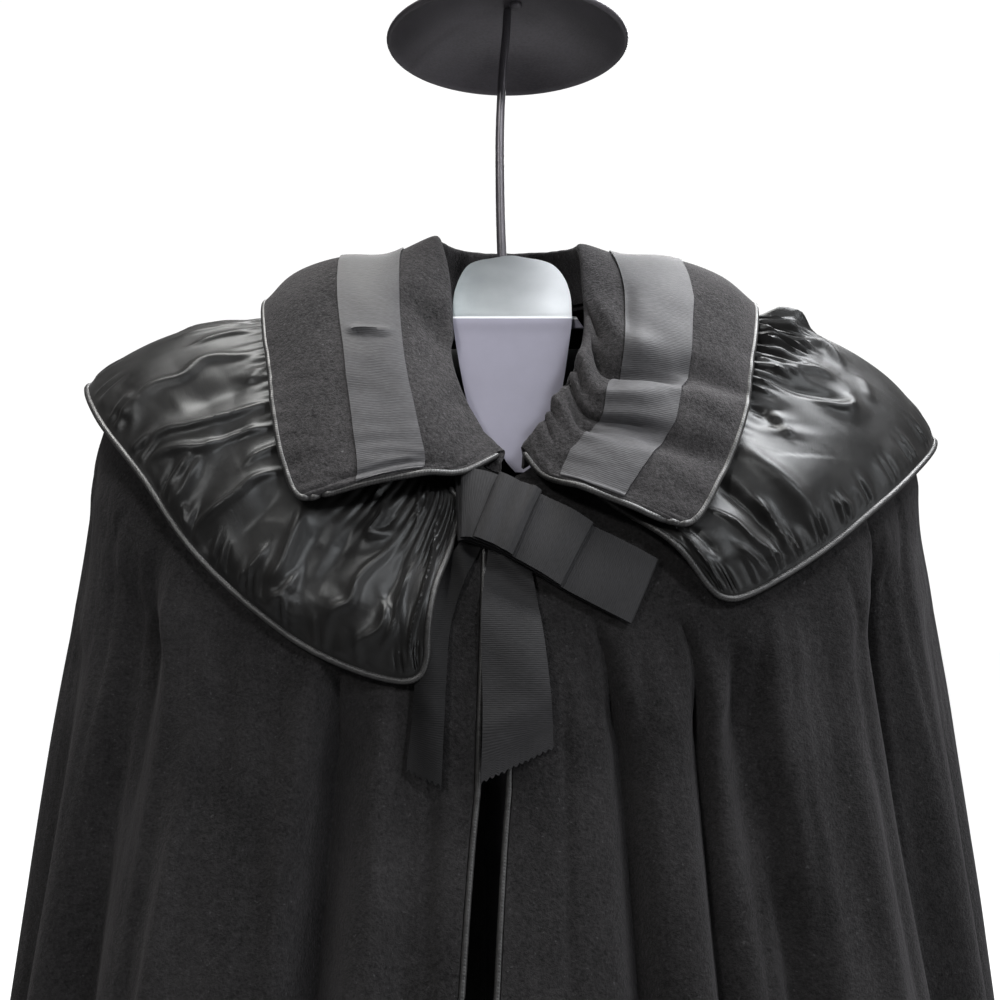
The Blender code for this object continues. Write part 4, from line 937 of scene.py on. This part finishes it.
# Gathered satin ruffle
ruffle = {
    "thickness": 0.7,
    "innerLevel": 0.9,
    "innerLift": 2.7,
    "corner": (0.032, 0.11),
    # inner angle, outer angle, outer level, fan, then the lift near the neck, far out and at the edge
    "right": (
        (-19, -6.5, 4.66, 0.3, 4.5, 14, 8), (-24, -9.0, 4.95, 0.4, 4.5, 14, 7),
        (-32, -18.5, 4.78, 0.6, 4.5, 13, 7),
        (-42, -28.5, 4.50, 0.8, 5, 13, 7), (-52, -40, 4.33, 1.0, 5, 12, 8),
        (-62, -54, 4.20, 1.0, 5, 13, 11),
        (-76, -71, 4.46, 1.0, 5, 14, 17), (-90, -89, 4.66, 1.0, 5, 14, 22),
        (-110, -112, 4.85, 1.0, 5, 12, 17),
        (-135, -137, 4.75, 1.0, 5, 14, 11), (-158, -158, 4.8, 1.0, 5, 15, 10),
        (-180, -180, 4.85, 1.0, 5, 15, 10),
    ),
    "left": (
        (25, 24.5, 3.85, 1.0, 4.5, 15, 9), (29, 27.0, 4.14, 1.0, 4.5, 15, 8),
        (37, 34, 4.28, 1.0, 4.5, 14, 8),
        (46, 41, 4.42, 1.0, 5, 14, 8), (56, 51, 4.66, 1.0, 6, 12, 8), (66, 64, 5.08, 1.0, 7, 10, 10),
        (78, 77, 5.42, 1.0, 7, 9, 15), (90, 91, 5.62, 1.0, 6, 10, 19), (110, 112, 5.35, 1.0, 5, 12, 16),
        (135, 137, 5.0, 1.0, 5, 14, 12), (158, 158, 4.9, 1.0, 5, 15, 10), (180, 180, 4.85, 1.0, 5, 15, 10),
    ),
    # crests (and, below 0, hollows): width in steps, rise,
    # then the station and step of each place on the way
    "rightFolds": (
        (0.024, 5.0, (0.50, 0.34), (0.518, 0.44), (0.525, 0.53), (0.512, 0.62), (0.517, 0.71),
        (0.516, 0.79), (0.493, 0.95)),
        (0.020, 2.5, (0.486, 0.36), (0.470, 0.46)), (0.030, 2.5, (0.527, 0.80), (0.514, 0.93)),
        (0.017, 5.0, (0.425, 0.36), (0.433, 0.54), (0.447, 0.68), (0.465, 0.79), (0.484, 0.96)),
        (0.018, 5.0, (0.38, 0.38), (0.401, 0.53), (0.414, 0.68), (0.432, 0.76), (0.448, 0.84),
        (0.465, 0.97)),
        (0.020, 3.5, (0.350, 0.40), (0.360, 0.50), (0.364, 0.60)),
        (0.017, 5.0, (0.316, 0.44), (0.336, 0.57), (0.342, 0.69), (0.373, 0.95)),
        (0.018, 4.0, (0.420, 0.72), (0.419, 0.83), (0.417, 0.98)),
        (0.018, 4.0, (0.410, 0.70), (0.402, 0.85), (0.408, 0.98)),
        (0.015, 2.5, (0.393, 0.88), (0.383, 0.98)),
        (0.034, 6.5, (0.276, 0.46), (0.253, 0.56), (0.243, 0.71), (0.251, 0.83), (0.255, 0.93)),
        (0.018, 4.0, (0.268, 0.68), (0.278, 0.82), (0.297, 0.97)),
        (0.016, 4.0, (0.222, 0.68), (0.225, 0.79), (0.251, 0.95)),
        (0.030, 3.5, (0.232, 0.82), (0.219, 0.95)),
        (0.020, 6.0, (0.191, 0.20), (0.172, 0.30), (0.168, 0.39), (0.141, 0.33)),
        (0.022, 6.0, (0.141, 0.33), (0.135, 0.42), (0.147, 0.57), (0.148, 0.69), (0.166, 0.78),
        (0.170, 0.93)),
        (0.020, 4.5, (0.123, 0.58), (0.107, 0.67), (0.110, 0.76), (0.131, 0.85), (0.148, 0.95)),
        (0.015, 3.5, (0.089, 0.40), (0.091, 0.61), (0.092, 0.73), (0.113, 0.90)),
        (0.014, 5.5, (0.078, 0.10), (0.067, 0.25), (0.034, 0.44), (0.029, 0.60), (0.050, 0.76),
        (0.068, 0.95)),
        (0.012, 3.0, (0.149, 0.06), (0.114, 0.24)), (0.012, 3.0, (0.130, 0.04), (0.110, 0.16)),
        (0.012, 3.0, (0.205, 0.16), (0.200, 0.28)),
        (0.070, -4.0, (0.465, 0.42), (0.473, 0.58), (0.470, 0.70)),
        (0.060, -4.0, (0.228, 0.44), (0.223, 0.66), (0.200, 0.80)),
        (0.055, -4.0, (0.196, 0.40), (0.184, 0.56), (0.193, 0.78)),
        (0.035, -3.0, (0.120, 0.33), (0.104, 0.53), (0.122, 0.71)),
        (0.045, -3.0, (0.300, 0.50), (0.302, 0.66), (0.320, 0.84)),
        (0.040, -3.0, (0.395, 0.50), (0.418, 0.66)),
        (0.014, 2.5, (0.623, 0.36), (0.627, 0.51), (0.618, 0.61)),
        (0.016, 3.0, (0.600, 0.34), (0.590, 0.50), (0.596, 0.62)),
        (0.016, 3.0, (0.56, 0.34), (0.566, 0.44), (0.560, 0.56)),
    ),
    "leftFolds": (
        (0.034, 12.0, (0.622, 0.29), (0.614, 0.36), (0.604, 0.42)),
        (0.020, 6.0, (0.585, 0.30), (0.570, 0.40)),
        (0.018, 5.0, (0.548, 0.29), (0.507, 0.34), (0.498, 0.38)),
        (0.018, 5.0, (0.498, 0.36), (0.518, 0.39), (0.552, 0.45), (0.544, 0.49), (0.517, 0.54)),
        (0.036, -5.0, (0.429, 0.38), (0.437, 0.49), (0.451, 0.57), (0.458, 0.62)),
        (0.016, 4.5, (0.426, 0.50), (0.435, 0.59), (0.452, 0.63), (0.478, 0.60)),
        (0.022, 4.0, (0.446, 0.38), (0.481, 0.46), (0.485, 0.56)),
        (0.032, -4.5, (0.380, 0.38), (0.367, 0.47), (0.353, 0.54)),
        (0.016, 4.0, (0.385, 0.44), (0.347, 0.57)),
        (0.060, 6.0, (0.334, 0.40), (0.290, 0.50), (0.282, 0.62), (0.280, 0.72), (0.276, 0.96)),
        (0.050, -6.5, (0.230, 0.42), (0.210, 0.56), (0.204, 0.70), (0.200, 0.90)),
        (0.019, 4.0, (0.150, 0.50), (0.163, 0.67), (0.165, 0.78), (0.179, 0.88), (0.205, 0.95)),
        (0.018, 4.0, (0.232, 0.60), (0.219, 0.73), (0.206, 0.95)),
        (0.019, 4.0, (0.070, 0.55), (0.040, 0.72), (0.042, 0.86), (0.053, 0.95)),
        (0.018, 2.6, (0.137, 0.74), (0.146, 0.88), (0.143, 0.97)),
        (0.017, 2.0, (0.172, 0.88), (0.172, 0.97)), (0.017, 2.0, (0.219, 0.88), (0.231, 0.97)),
        (0.020, 2.0, (0.316, 0.86), (0.352, 0.94)), (0.020, 2.0, (0.527, 0.60), (0.481, 0.68)),
        (0.014, 3.5, (0.512, 0.28), (0.500, 0.33), (0.489, 0.40)),
        (0.014, 3.5, (0.466, 0.31), (0.455, 0.37), (0.443, 0.42)),
        (0.013, 3.0, (0.403, 0.32), (0.408, 0.42)), (0.013, 2.5, (0.425, 0.32), (0.420, 0.40)),
        (0.040, -3.0, (0.10, 0.50), (0.095, 0.80)),
    ),
    "backFolds": 13,
}


def ruffleBase(side, station, step, floor=0.0):
    station, step = np.broadcast_arrays(np.asarray(station, float), np.asarray(step, float))
    inner, outer, outerLevel, fan, near, far, edge = readRows(ruffle[side], np.clip(station, -0.02, 1.02),
        angles=(0, 1))
    out = np.clip(step, 0.0, 1.05)
    angle = inner + (outer - inner) * out**fan
    level = ruffle["innerLevel"] + (outerLevel - ruffle["innerLevel"]) * out
    knots = np.stack([np.full(station.shape, ruffle["innerLift"]), near, far, edge])[..., None]
    lift = np.maximum(readKnots(knots, out * 3)[..., 0], floor)
    return angle, level, lift


def hiddenFolds(side):  # uneven folds like the shown ones, over the shoulder and the back
    pick = np.random.default_rng(5 if side == "right" else 8)
    folds = []
    for k in range(ruffle["backFolds"]):
        station = 0.665 + 0.325 * (k + pick.uniform(-0.3, 0.3)) / ruffle["backFolds"]
        start, end = pick.uniform(0.18, 0.34), pick.uniform(0.62, 0.96)
        drift = pick.uniform(-0.02, 0.02, 2)
        path = ((station, start), (station + drift[0], (start + end) / 2), (station + drift.sum(), end))
        folds.append((pick.uniform(0.015, 0.035), pick.uniform(3.0, 5.5), *path))
        if k % 3 == 0:
            folds.append((0.05, -3.5, (station + 0.013, 0.3), (station + 0.016, 0.75)))
        if k % 2 == 0:
            folds.append((0.014, 2.5, (station - 0.01, 0.86), (station - 0.006, 0.98)))
    return folds


def ruffleRelief(side, station, step, lift):
    folds = (*ruffle[side + "Folds"], *hiddenFolds(side))
    relief = ridged(station, step, folds, 4.0)
    uneven = softNoise(station * 9, step, 32)
    phase = 2 * np.pi * (62 * station + 0.5 * softNoise(station * 11, step * 0.7, 31))
    gathers = smoothStep(step / 0.1) * smoothStep((0.52 - step) / 0.3) * (1 + 0.7 * uneven)
    relief = relief + 0.6 * gathers * np.sin(phase)
    if side == "left":  # the frilled stretch beside the collar
        frill = np.exp(-(((station - 0.535) / 0.085) ** 2)) * smoothStep((step - 0.22)
            / 0.08) * smoothStep((0.47 - step) / 0.12)
        relief = relief + 2.6 * frill * np.sin(2 * np.pi * 74 * station + 2.6 * softNoise(station * 20,
            step * 3, 35))
    puckers = smoothStep((step - 0.8) / 0.1) * smoothStep((1 - step) / 0.06)
    relief = relief + 0.8 * puckers * (np.sin(station * 300 + 4 * softNoise(station * 14, step, 34)) + 0.3)
    relief = relief + 1.4 * softNoise(station * 6, step * 1.3, 36) + 0.12 * softNoise(station * 21,
        step * 4, 37)
    calm = smoothStep(step / 0.05) * smoothStep((1 - step) / 0.05) * smoothStep(station / 0.012)
    roof = 12 + (60 * np.maximum(step - 0.38, 0) if side == "right" else 150 * np.maximum(step - 0.28, 0))
    return np.clip(relief * calm, 2.6 - lift, np.maximum(roof - lift, 0))


def makeRuffles():
    for side in ("right", "left"):
        stations = np.linspace(0, 0.9996, 400)[:, None]
        steps = np.linspace(0, 1, 92)[None, :] * roundedRim(np.minimum(stations, 0.5), *ruffle["corner"])
        stations, steps = np.broadcast_arrays(stations, steps)
        angle, level, lift = ruffleBase(side, stations, steps)
        facing = outwardAt(angle, level)
        base = surfaceAt(angle, level) + facing * lift[..., None]
        middle = base + facing * ruffleRelief(side, stations, steps, lift)[..., None]
        made = clothWall(f"{side}Ruffle", middle, gridNormals(middle, facing), ruffle["thickness"], "satin")
        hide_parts(f"{side}_ruffle")
        makeRuffleCord(side)
        print(side, "ruffle ready")


def makeRuffleCord(side):
    def at(station, step):
        angle, level, lift = ruffleBase(side, station, step, 3.3)
        return lifted(angle, level, lift)

    reach, depth = ruffle["corner"]
    bend = reach * (1 - np.cos(np.linspace(0, np.pi / 2, 14)))
    stations = np.concatenate([bend, np.linspace(reach, 0.9994, 240)[1:]])
    rims = roundedRim(np.minimum(stations, 0.5), reach, depth)
    steps = np.concatenate([np.linspace(0, rims[0], 40)[:-1], rims])
    stations = np.concatenate([np.zeros(39), stations])
    inside = at(np.maximum(stations, 0.01), steps - 0.02 * (steps > 0.86))
    made = cordAlong(f"{side}RuffleCord", offEdge(at(stations, steps), inside, 1.5), 1.8, spacing=1.6)
    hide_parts(f"{side}_ruffle_piping")


makeRuffles()


# Ribbon bow
bow = {
    "start": (-26.5, 1283.5), "width": 36.0, "thickness": 0.9,
    "spine": ((-29, -4), (-22, 4), (-13, 22), (12, 26), (40, 31), (48, 26), (84, 26)),  # run, fall
    # reach to the right, reach to the left, lift, half thickness
    "loops": {
        "bow_long_loop": (29, 82, 6.0, 2.3), "bow_middle_loop": (26.5, 42, 10.9, 2.3),
        "bow_knot": (12, 12, 15.8, 2.3),
    },
    # height, inner x, outer x, lift
    "leftTail": ((1285, -6, 6, 2.7), (1262, -9, 11, 2.7), (1244, -11, 16, 3.2), (1222, -12, 20, 6.5),
    (1190, -12, 23, 7), (1168, -12, 24, 7), (1146, -12, 25, 6)),
    "rightTail": ((1284, -9, -15, 2.4), (1266, -12, -24, 2.4), (1250, -19, -35, 2.5), (1224, -28, -45.5, 5),
    (1196, -31, -47, 5), (1170, -32, -48.5, 5), (1144, -32, -50, 5)),
    "slants": {"leftTail": 17.0, "rightTail": 8.0},
    "pinkPitch": 3.0, "pinkDepth": 2.2,
    "cloths": {"leftTail": "shadeDarkenedRibbon", "rightTail": "deepShadeRibbon"},  # painted shade: both tails use darkened copies of the grosgrain, the right one, under the ruffle's corner, much darker
}


def bowAt(along, across, lift):
    along, across, lift = np.broadcast_arrays(along, across, lift)
    run = np.arange(-29.0, 86.0)
    fall = np.radians(np.interp(run, *zip(*bow["spine"])))
    middleX = bow["start"][0] + np.concatenate([[0], np.cumsum(np.cos(fall))[:-1]])
    middleZ = bow["start"][1] - np.concatenate([[0], np.cumsum(np.sin(fall))[:-1]])
    here = np.interp(along, run, fall)
    x = np.interp(along, run, middleX) + across * np.sin(here)
    z = np.interp(along, run, middleZ) + across * np.cos(here)
    angle, level = locateFront(x, z)
    return lifted(angle, level, lift)


def makeLoops():
    turns = np.linspace(0, 2 * np.pi, 120, endpoint=False)[:, None]
    across = np.linspace(-1, 1, 28)[None, :]
    for name, (right, left, lift, half) in bow["loops"].items():
        run = np.sign(np.cos(turns)) * np.abs(np.cos(turns)) ** 0.6
        rise = np.sign(np.sin(turns)) * np.abs(np.sin(turns)) ** 0.45
        reach = np.where(run > 0, left, right)
        front = smoothStep(rise + 0.4)
        puff = front * (0.7 * np.sin(np.abs(run) * np.pi) * (1 - across**2) - 0.5
            * np.exp(-((run / 0.2) ** 2)))
        puff = puff + front * 1.5 * np.exp(-(((run - 0.7) / 0.17) ** 2)) * (0.75 + 0.25 * across)
        curl = front * 0.35 * np.sin(run * 7 + across * 1.3)
        width = bow["width"] / 2 * (1 - 0.035 * np.exp(-((run / 0.25) ** 2)))
        middle = bowAt(run * (reach - 0.45), across * width, lift + rise * (half - 0.45) + puff + curl)
        facing = middle - bowAt(0 * turns, across * width, lift + 0 * turns)
        normals = gridNormals(middle)
        flip = np.sign(np.sum(normals * facing))
        # the loops use the grosgrain darkened as painted shade
        made = clothWall(name + "_cloth", middle, normals * flip, bow["thickness"], "shadeDarkenedRibbon", loop=True)
        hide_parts(name)


def makeTail(name, node):
    down = np.linspace(0, 1, 84)[:, None]
    shares = np.linspace(0, 1, 41)[None, :]
    height, innerX, outerX, lift = readRows(bow[name], down[:, 0])
    slant = bow["slants"][name] * smoothStep((down - 0.75) / 0.25)
    x = innerX[:, None] + (outerX - innerX)[:, None] * shares
    z = height[:, None] + slant * shares
    run = np.abs(outerX - innerX)[-1] * shares / bow["pinkPitch"]
    teeth = np.abs((run % 1) - 0.5) * 2 * bow["pinkDepth"]
    z = z - teeth * smoothStep((down - 0.9) / 0.1)
    x = x + 0.6 * np.sin(down * 9 + 1) * smoothStep(down / 0.4)
    angle, level = locateFront(x, z)
    curl = smoothStep((down - 0.33) / 0.17) * (1.2 * np.sin(shares * np.pi) + 1.1
        * np.sin(shares * 4.2 + down * 8) * smoothStep(down / 0.6))
    fold = down - 0.12 - 0.2 * shares if name == "leftTail" else down - 0.34 + 0.16 * shares
    curl = curl + smoothStep(down / 0.08) * (2.4 * np.exp(-((fold / 0.06) ** 2)) - 1.4
        * np.exp(-(((fold - 0.13) / 0.07) ** 2)))
    curl = curl + 1.2 * np.exp(-(((fold - 0.34) / 0.09) ** 2)) + 0.6 * np.exp(
        -(((down - 0.8 + shares * 0.1) / 0.05) ** 2))
    middle = lifted(angle, level, lift[:, None] + curl)
    made = clothWall(name, middle, gridNormals(middle, outwardAt(angle, level)), bow["thickness"],
        bow["cloths"][name])
    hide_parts(node)


makeLoops()
makeTail("leftTail", "bow_left_tail")
makeTail("rightTail", "bow_right_tail")
print("bow ready")


# Display stand
stand = {
    "base": (170.0, 10.0), "pole": 12.5, "formBottom": 1165.0, "formTop": 1388.0, "clearance": 3.5,
    "frontRoom": 26.0,
    "formCentre": (0.0, -5.0), "seam": 0.3,
    # level, extra room, scale, flatness, flat height
    "formRings": (
        (0.5, 6, 0.3, 1.0, 1388), (0.5, 6, 0.5, 0.92, 1388), (0.5, 4, 0.78, 0.55, 1388),
        (0.5, 1, 0.95, 0.12, 1388),
        (0.9, 0, 1.0, 0.0, 1388), (1.6, 0, 1.0, 0.0, 1388), (2.4, 0, 1.0, 0.0, 1388),
        (3.2, 0, 1.0, 0.0, 1388),
        (3.9, 0, 1.0, 0.0, 1388), (4.4, 1.5, 1.0, 0.0, 1165), (4.7, 4, 0.99, 0.12, 1165),
        (4.7, 6, 0.93, 0.45, 1165),
        (4.7, 6, 0.78, 0.85, 1165), (4.7, 6, 0.6, 1.0, 1165),
    ),
    "rod": ((0.0, 1388.3), (0.0, 1400), (-1.0, 1440), (-2.3, 1480), (-2.7, 1530), (-1.0, 1570), (1.2, 1595),
    (2.3, 1613.2)),
    "dome": {"x": 2.3, "rim": 78.0, "height": 1589.0, "rise": 25.0, "wall": 2.4},
    # height, half width, centre x, y
    "plate": (
        (1446.0, 9.0, 4.0, -12.5), (1444.0, 20.0, 4.0, -14.0), (1439.5, 28.0, 4.4, -17.5),
        (1430.0, 33.5, 5.0, -24.0),
        (1417.0, 36.5, 5.0, -34.0), (1402.0, 36.5, 5.0, -45.0), (1389.5, 35.2, 5.0, -49.0),
        (1363.5, 30.8, 5.2, -57.5),
        (1344.5, 26.6, 5.6, -63.5), (1329.0, 20.5, 6.4, -68.5), (1319.0, 12.0, 8.6, -71.5),
        (1311.0, 7.5, 9.4, -74.0),
        (1306.0, 3.0, 9.4, -75.5),
    ),
    "plateThickness": 2.0,
    "bar": (1396.0, 1403.5, 44.5, -24.0, 5.0, -42.35, -38.35, 7.0),
}


def makeFoot():
    radius, height = stand["base"]
    profile = [(0, 0), (radius - 1, 0), (radius, 1), (radius, height - 3)]
    profile += [(radius - 3 + 3 * math.cos(a), height - 3 + 3 * math.sin(a)) for a in np.linspace(0.2,
        math.pi / 2, 6)]
    profile += [(60, height), (0, height)]
    foot = lathed("standFoot", profile, "black_metal", sides=160)
    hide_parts("stand_base")
    low, r = height + stand["seam"], stand["pole"]
    profile = [(0, low), (26, low), (26, low + 4), (25, low + 5.2), (17, low + 7.6), (r + 1, low + 9),
        (r, low + 12)]
    profile += [(r, 1128), (r + 3, 1129), (r + 3, 1150), (r, 1151),
        (r, stand["formBottom"] - stand["seam"]), (0, stand["formBottom"] - stand["seam"])]
    pole = lathed("standPole", profile, "black_metal", sides=72)
    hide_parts("stand_pole")


def makeForm():
    sides, count = 120, 66
    angles = np.linspace(-180, 180, sides, endpoint=False)[None, :]
    rows = readRows(stand["formRings"], np.linspace(0, 1, count))
    level, extra, scale, flatness, flatHeight = (row[:, None] for row in rows)
    flatness = np.clip(flatness, 0, 1)
    flatHeight = np.where(np.arange(count)[:, None] < count * 0.6, stand["formTop"], stand["formBottom"])
    room = stand["clearance"] + stand["frontRoom"] * np.abs(np.cos(np.radians(angles))) ** 0.8 + extra
    points = lifted(angles, level, -room)
    centre = np.array(stand["formCentre"])
    points[..., :2] = centre + (points[..., :2] - centre) * scale[..., None]
    points[..., 2] += (flatHeight - points[..., 2]) * flatness
    points[..., 2] = np.clip(points[..., 2], stand["formBottom"], stand["formTop"])
    faces = []
    for r in range(count - 1):
        for k in range(sides):
            n = (k + 1) % sides
            faces.append((r * sides + k, r * sides + n, (r + 1) * sides + n, (r + 1) * sides + k))
    faces += [tuple(range(sides))[::-1], tuple((count - 1) * sides + k for k in range(sides))]
    form = newPiece("shoulderForm", points.reshape(-1, 3), faces, "form", sharp=60)
    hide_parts("shoulder_form")


def makePlate():
    rows = readRows(stand["plate"], np.linspace(0, 1, 130))
    height, halfWidth, centreX, y = rows
    shares = np.linspace(-1, 1, 41)
    crown = np.interp(np.linspace(0, 12, 130), (0, 1, 2, 3), (1.5, 1.0, 0.4, 0.0))
    x = centreX[:, None] + halfWidth[:, None] * shares
    z = height[:, None] + crown[:, None] * (1 - shares**2)
    middle = np.stack([x, np.broadcast_to(y[:, None], x.shape), z], -1)
    slope = unit(np.gradient(np.stack([y, height], -1), axis=0))
    facing = np.stack([np.zeros(len(slope)), -slope[:, 1], slope[:, 0]], -1)
    normals = np.broadcast_to(facing[:, None], middle.shape)
    plate = clothWall("neckPlate", middle, normals, stand["plateThickness"], "pale_metal")
    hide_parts("neck_plate")


def makeBar():
    bottom, top, leftEnd, rightEnd, slant, front, back, stem = stand["bar"]
    points, faces = [], []
    for left, height in ((leftEnd + slant, bottom), (leftEnd, top)):
        for x, y in ((rightEnd, front), (left, front), (left, back), (stem, back), (stem, -3.3),
                (-stem, -3.3), (-stem, back), (rightEnd, back)):
            points.append((x, y, height))
    faces = [tuple(range(8))[::-1], tuple(range(8, 16))]
    faces += [(k, (k + 1) % 8, 8 + (k + 1) % 8, 8 + k) for k in range(8)]
    bar = newPiece("neckBar", points, faces, "pale_metal", sharp=30)
    rounded = bar.modifiers.new("rounded", "BEVEL")
    rounded.width, rounded.segments, rounded.limit_method = 0.0006, 2, "ANGLE"
    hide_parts("neck_bar")


def makeHead():
    path = [(x, 0.0, height) for x, height in stand["rod"]]
    rod = cordAlong("headRod", path, 3.3, "black_metal", sides=24, spacing=3.0, radiusEnd=2.7, cap=False)
    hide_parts("head_rod")
    dome = stand["dome"]
    shares = np.linspace(0, 1, 40)
    inside = [(dome["rim"] * s - dome["wall"] * s**3,
        dome["height"] + dome["rise"] * (1 - s**2.4)) for s in shares]
    outside = [(dome["rim"] * s, dome["height"] + dome["wall"] + dome["rise"]
        * (1 - s**2.4)) for s in shares[::-1]]
    turns = np.linspace(-2.4, 1.2, 12)
    lip = [(dome["rim"] - 0.6 + 1.9 * math.cos(a), dome["height"] + 1.1 + 1.9 * math.sin(a)) for a in turns]
    head = lathed("headDome", inside + lip + outside, "black_metal", (dome["x"], 0.0), sides=180, sharp=40)
    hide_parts("head_dome")
    screw = lathed("domeScrew", [(0, 1611.2), (2.2, 1611.0), (3.6, 1611.6), (4.2, 1612.6), (4.2, 1613.6),
        (0, 1613.6)],
                   "black_metal", (7.6, -7.5), sides=40)


makeFoot()
makeForm()
makePlate()
makeBar()
makeHead()
print("stand ready")
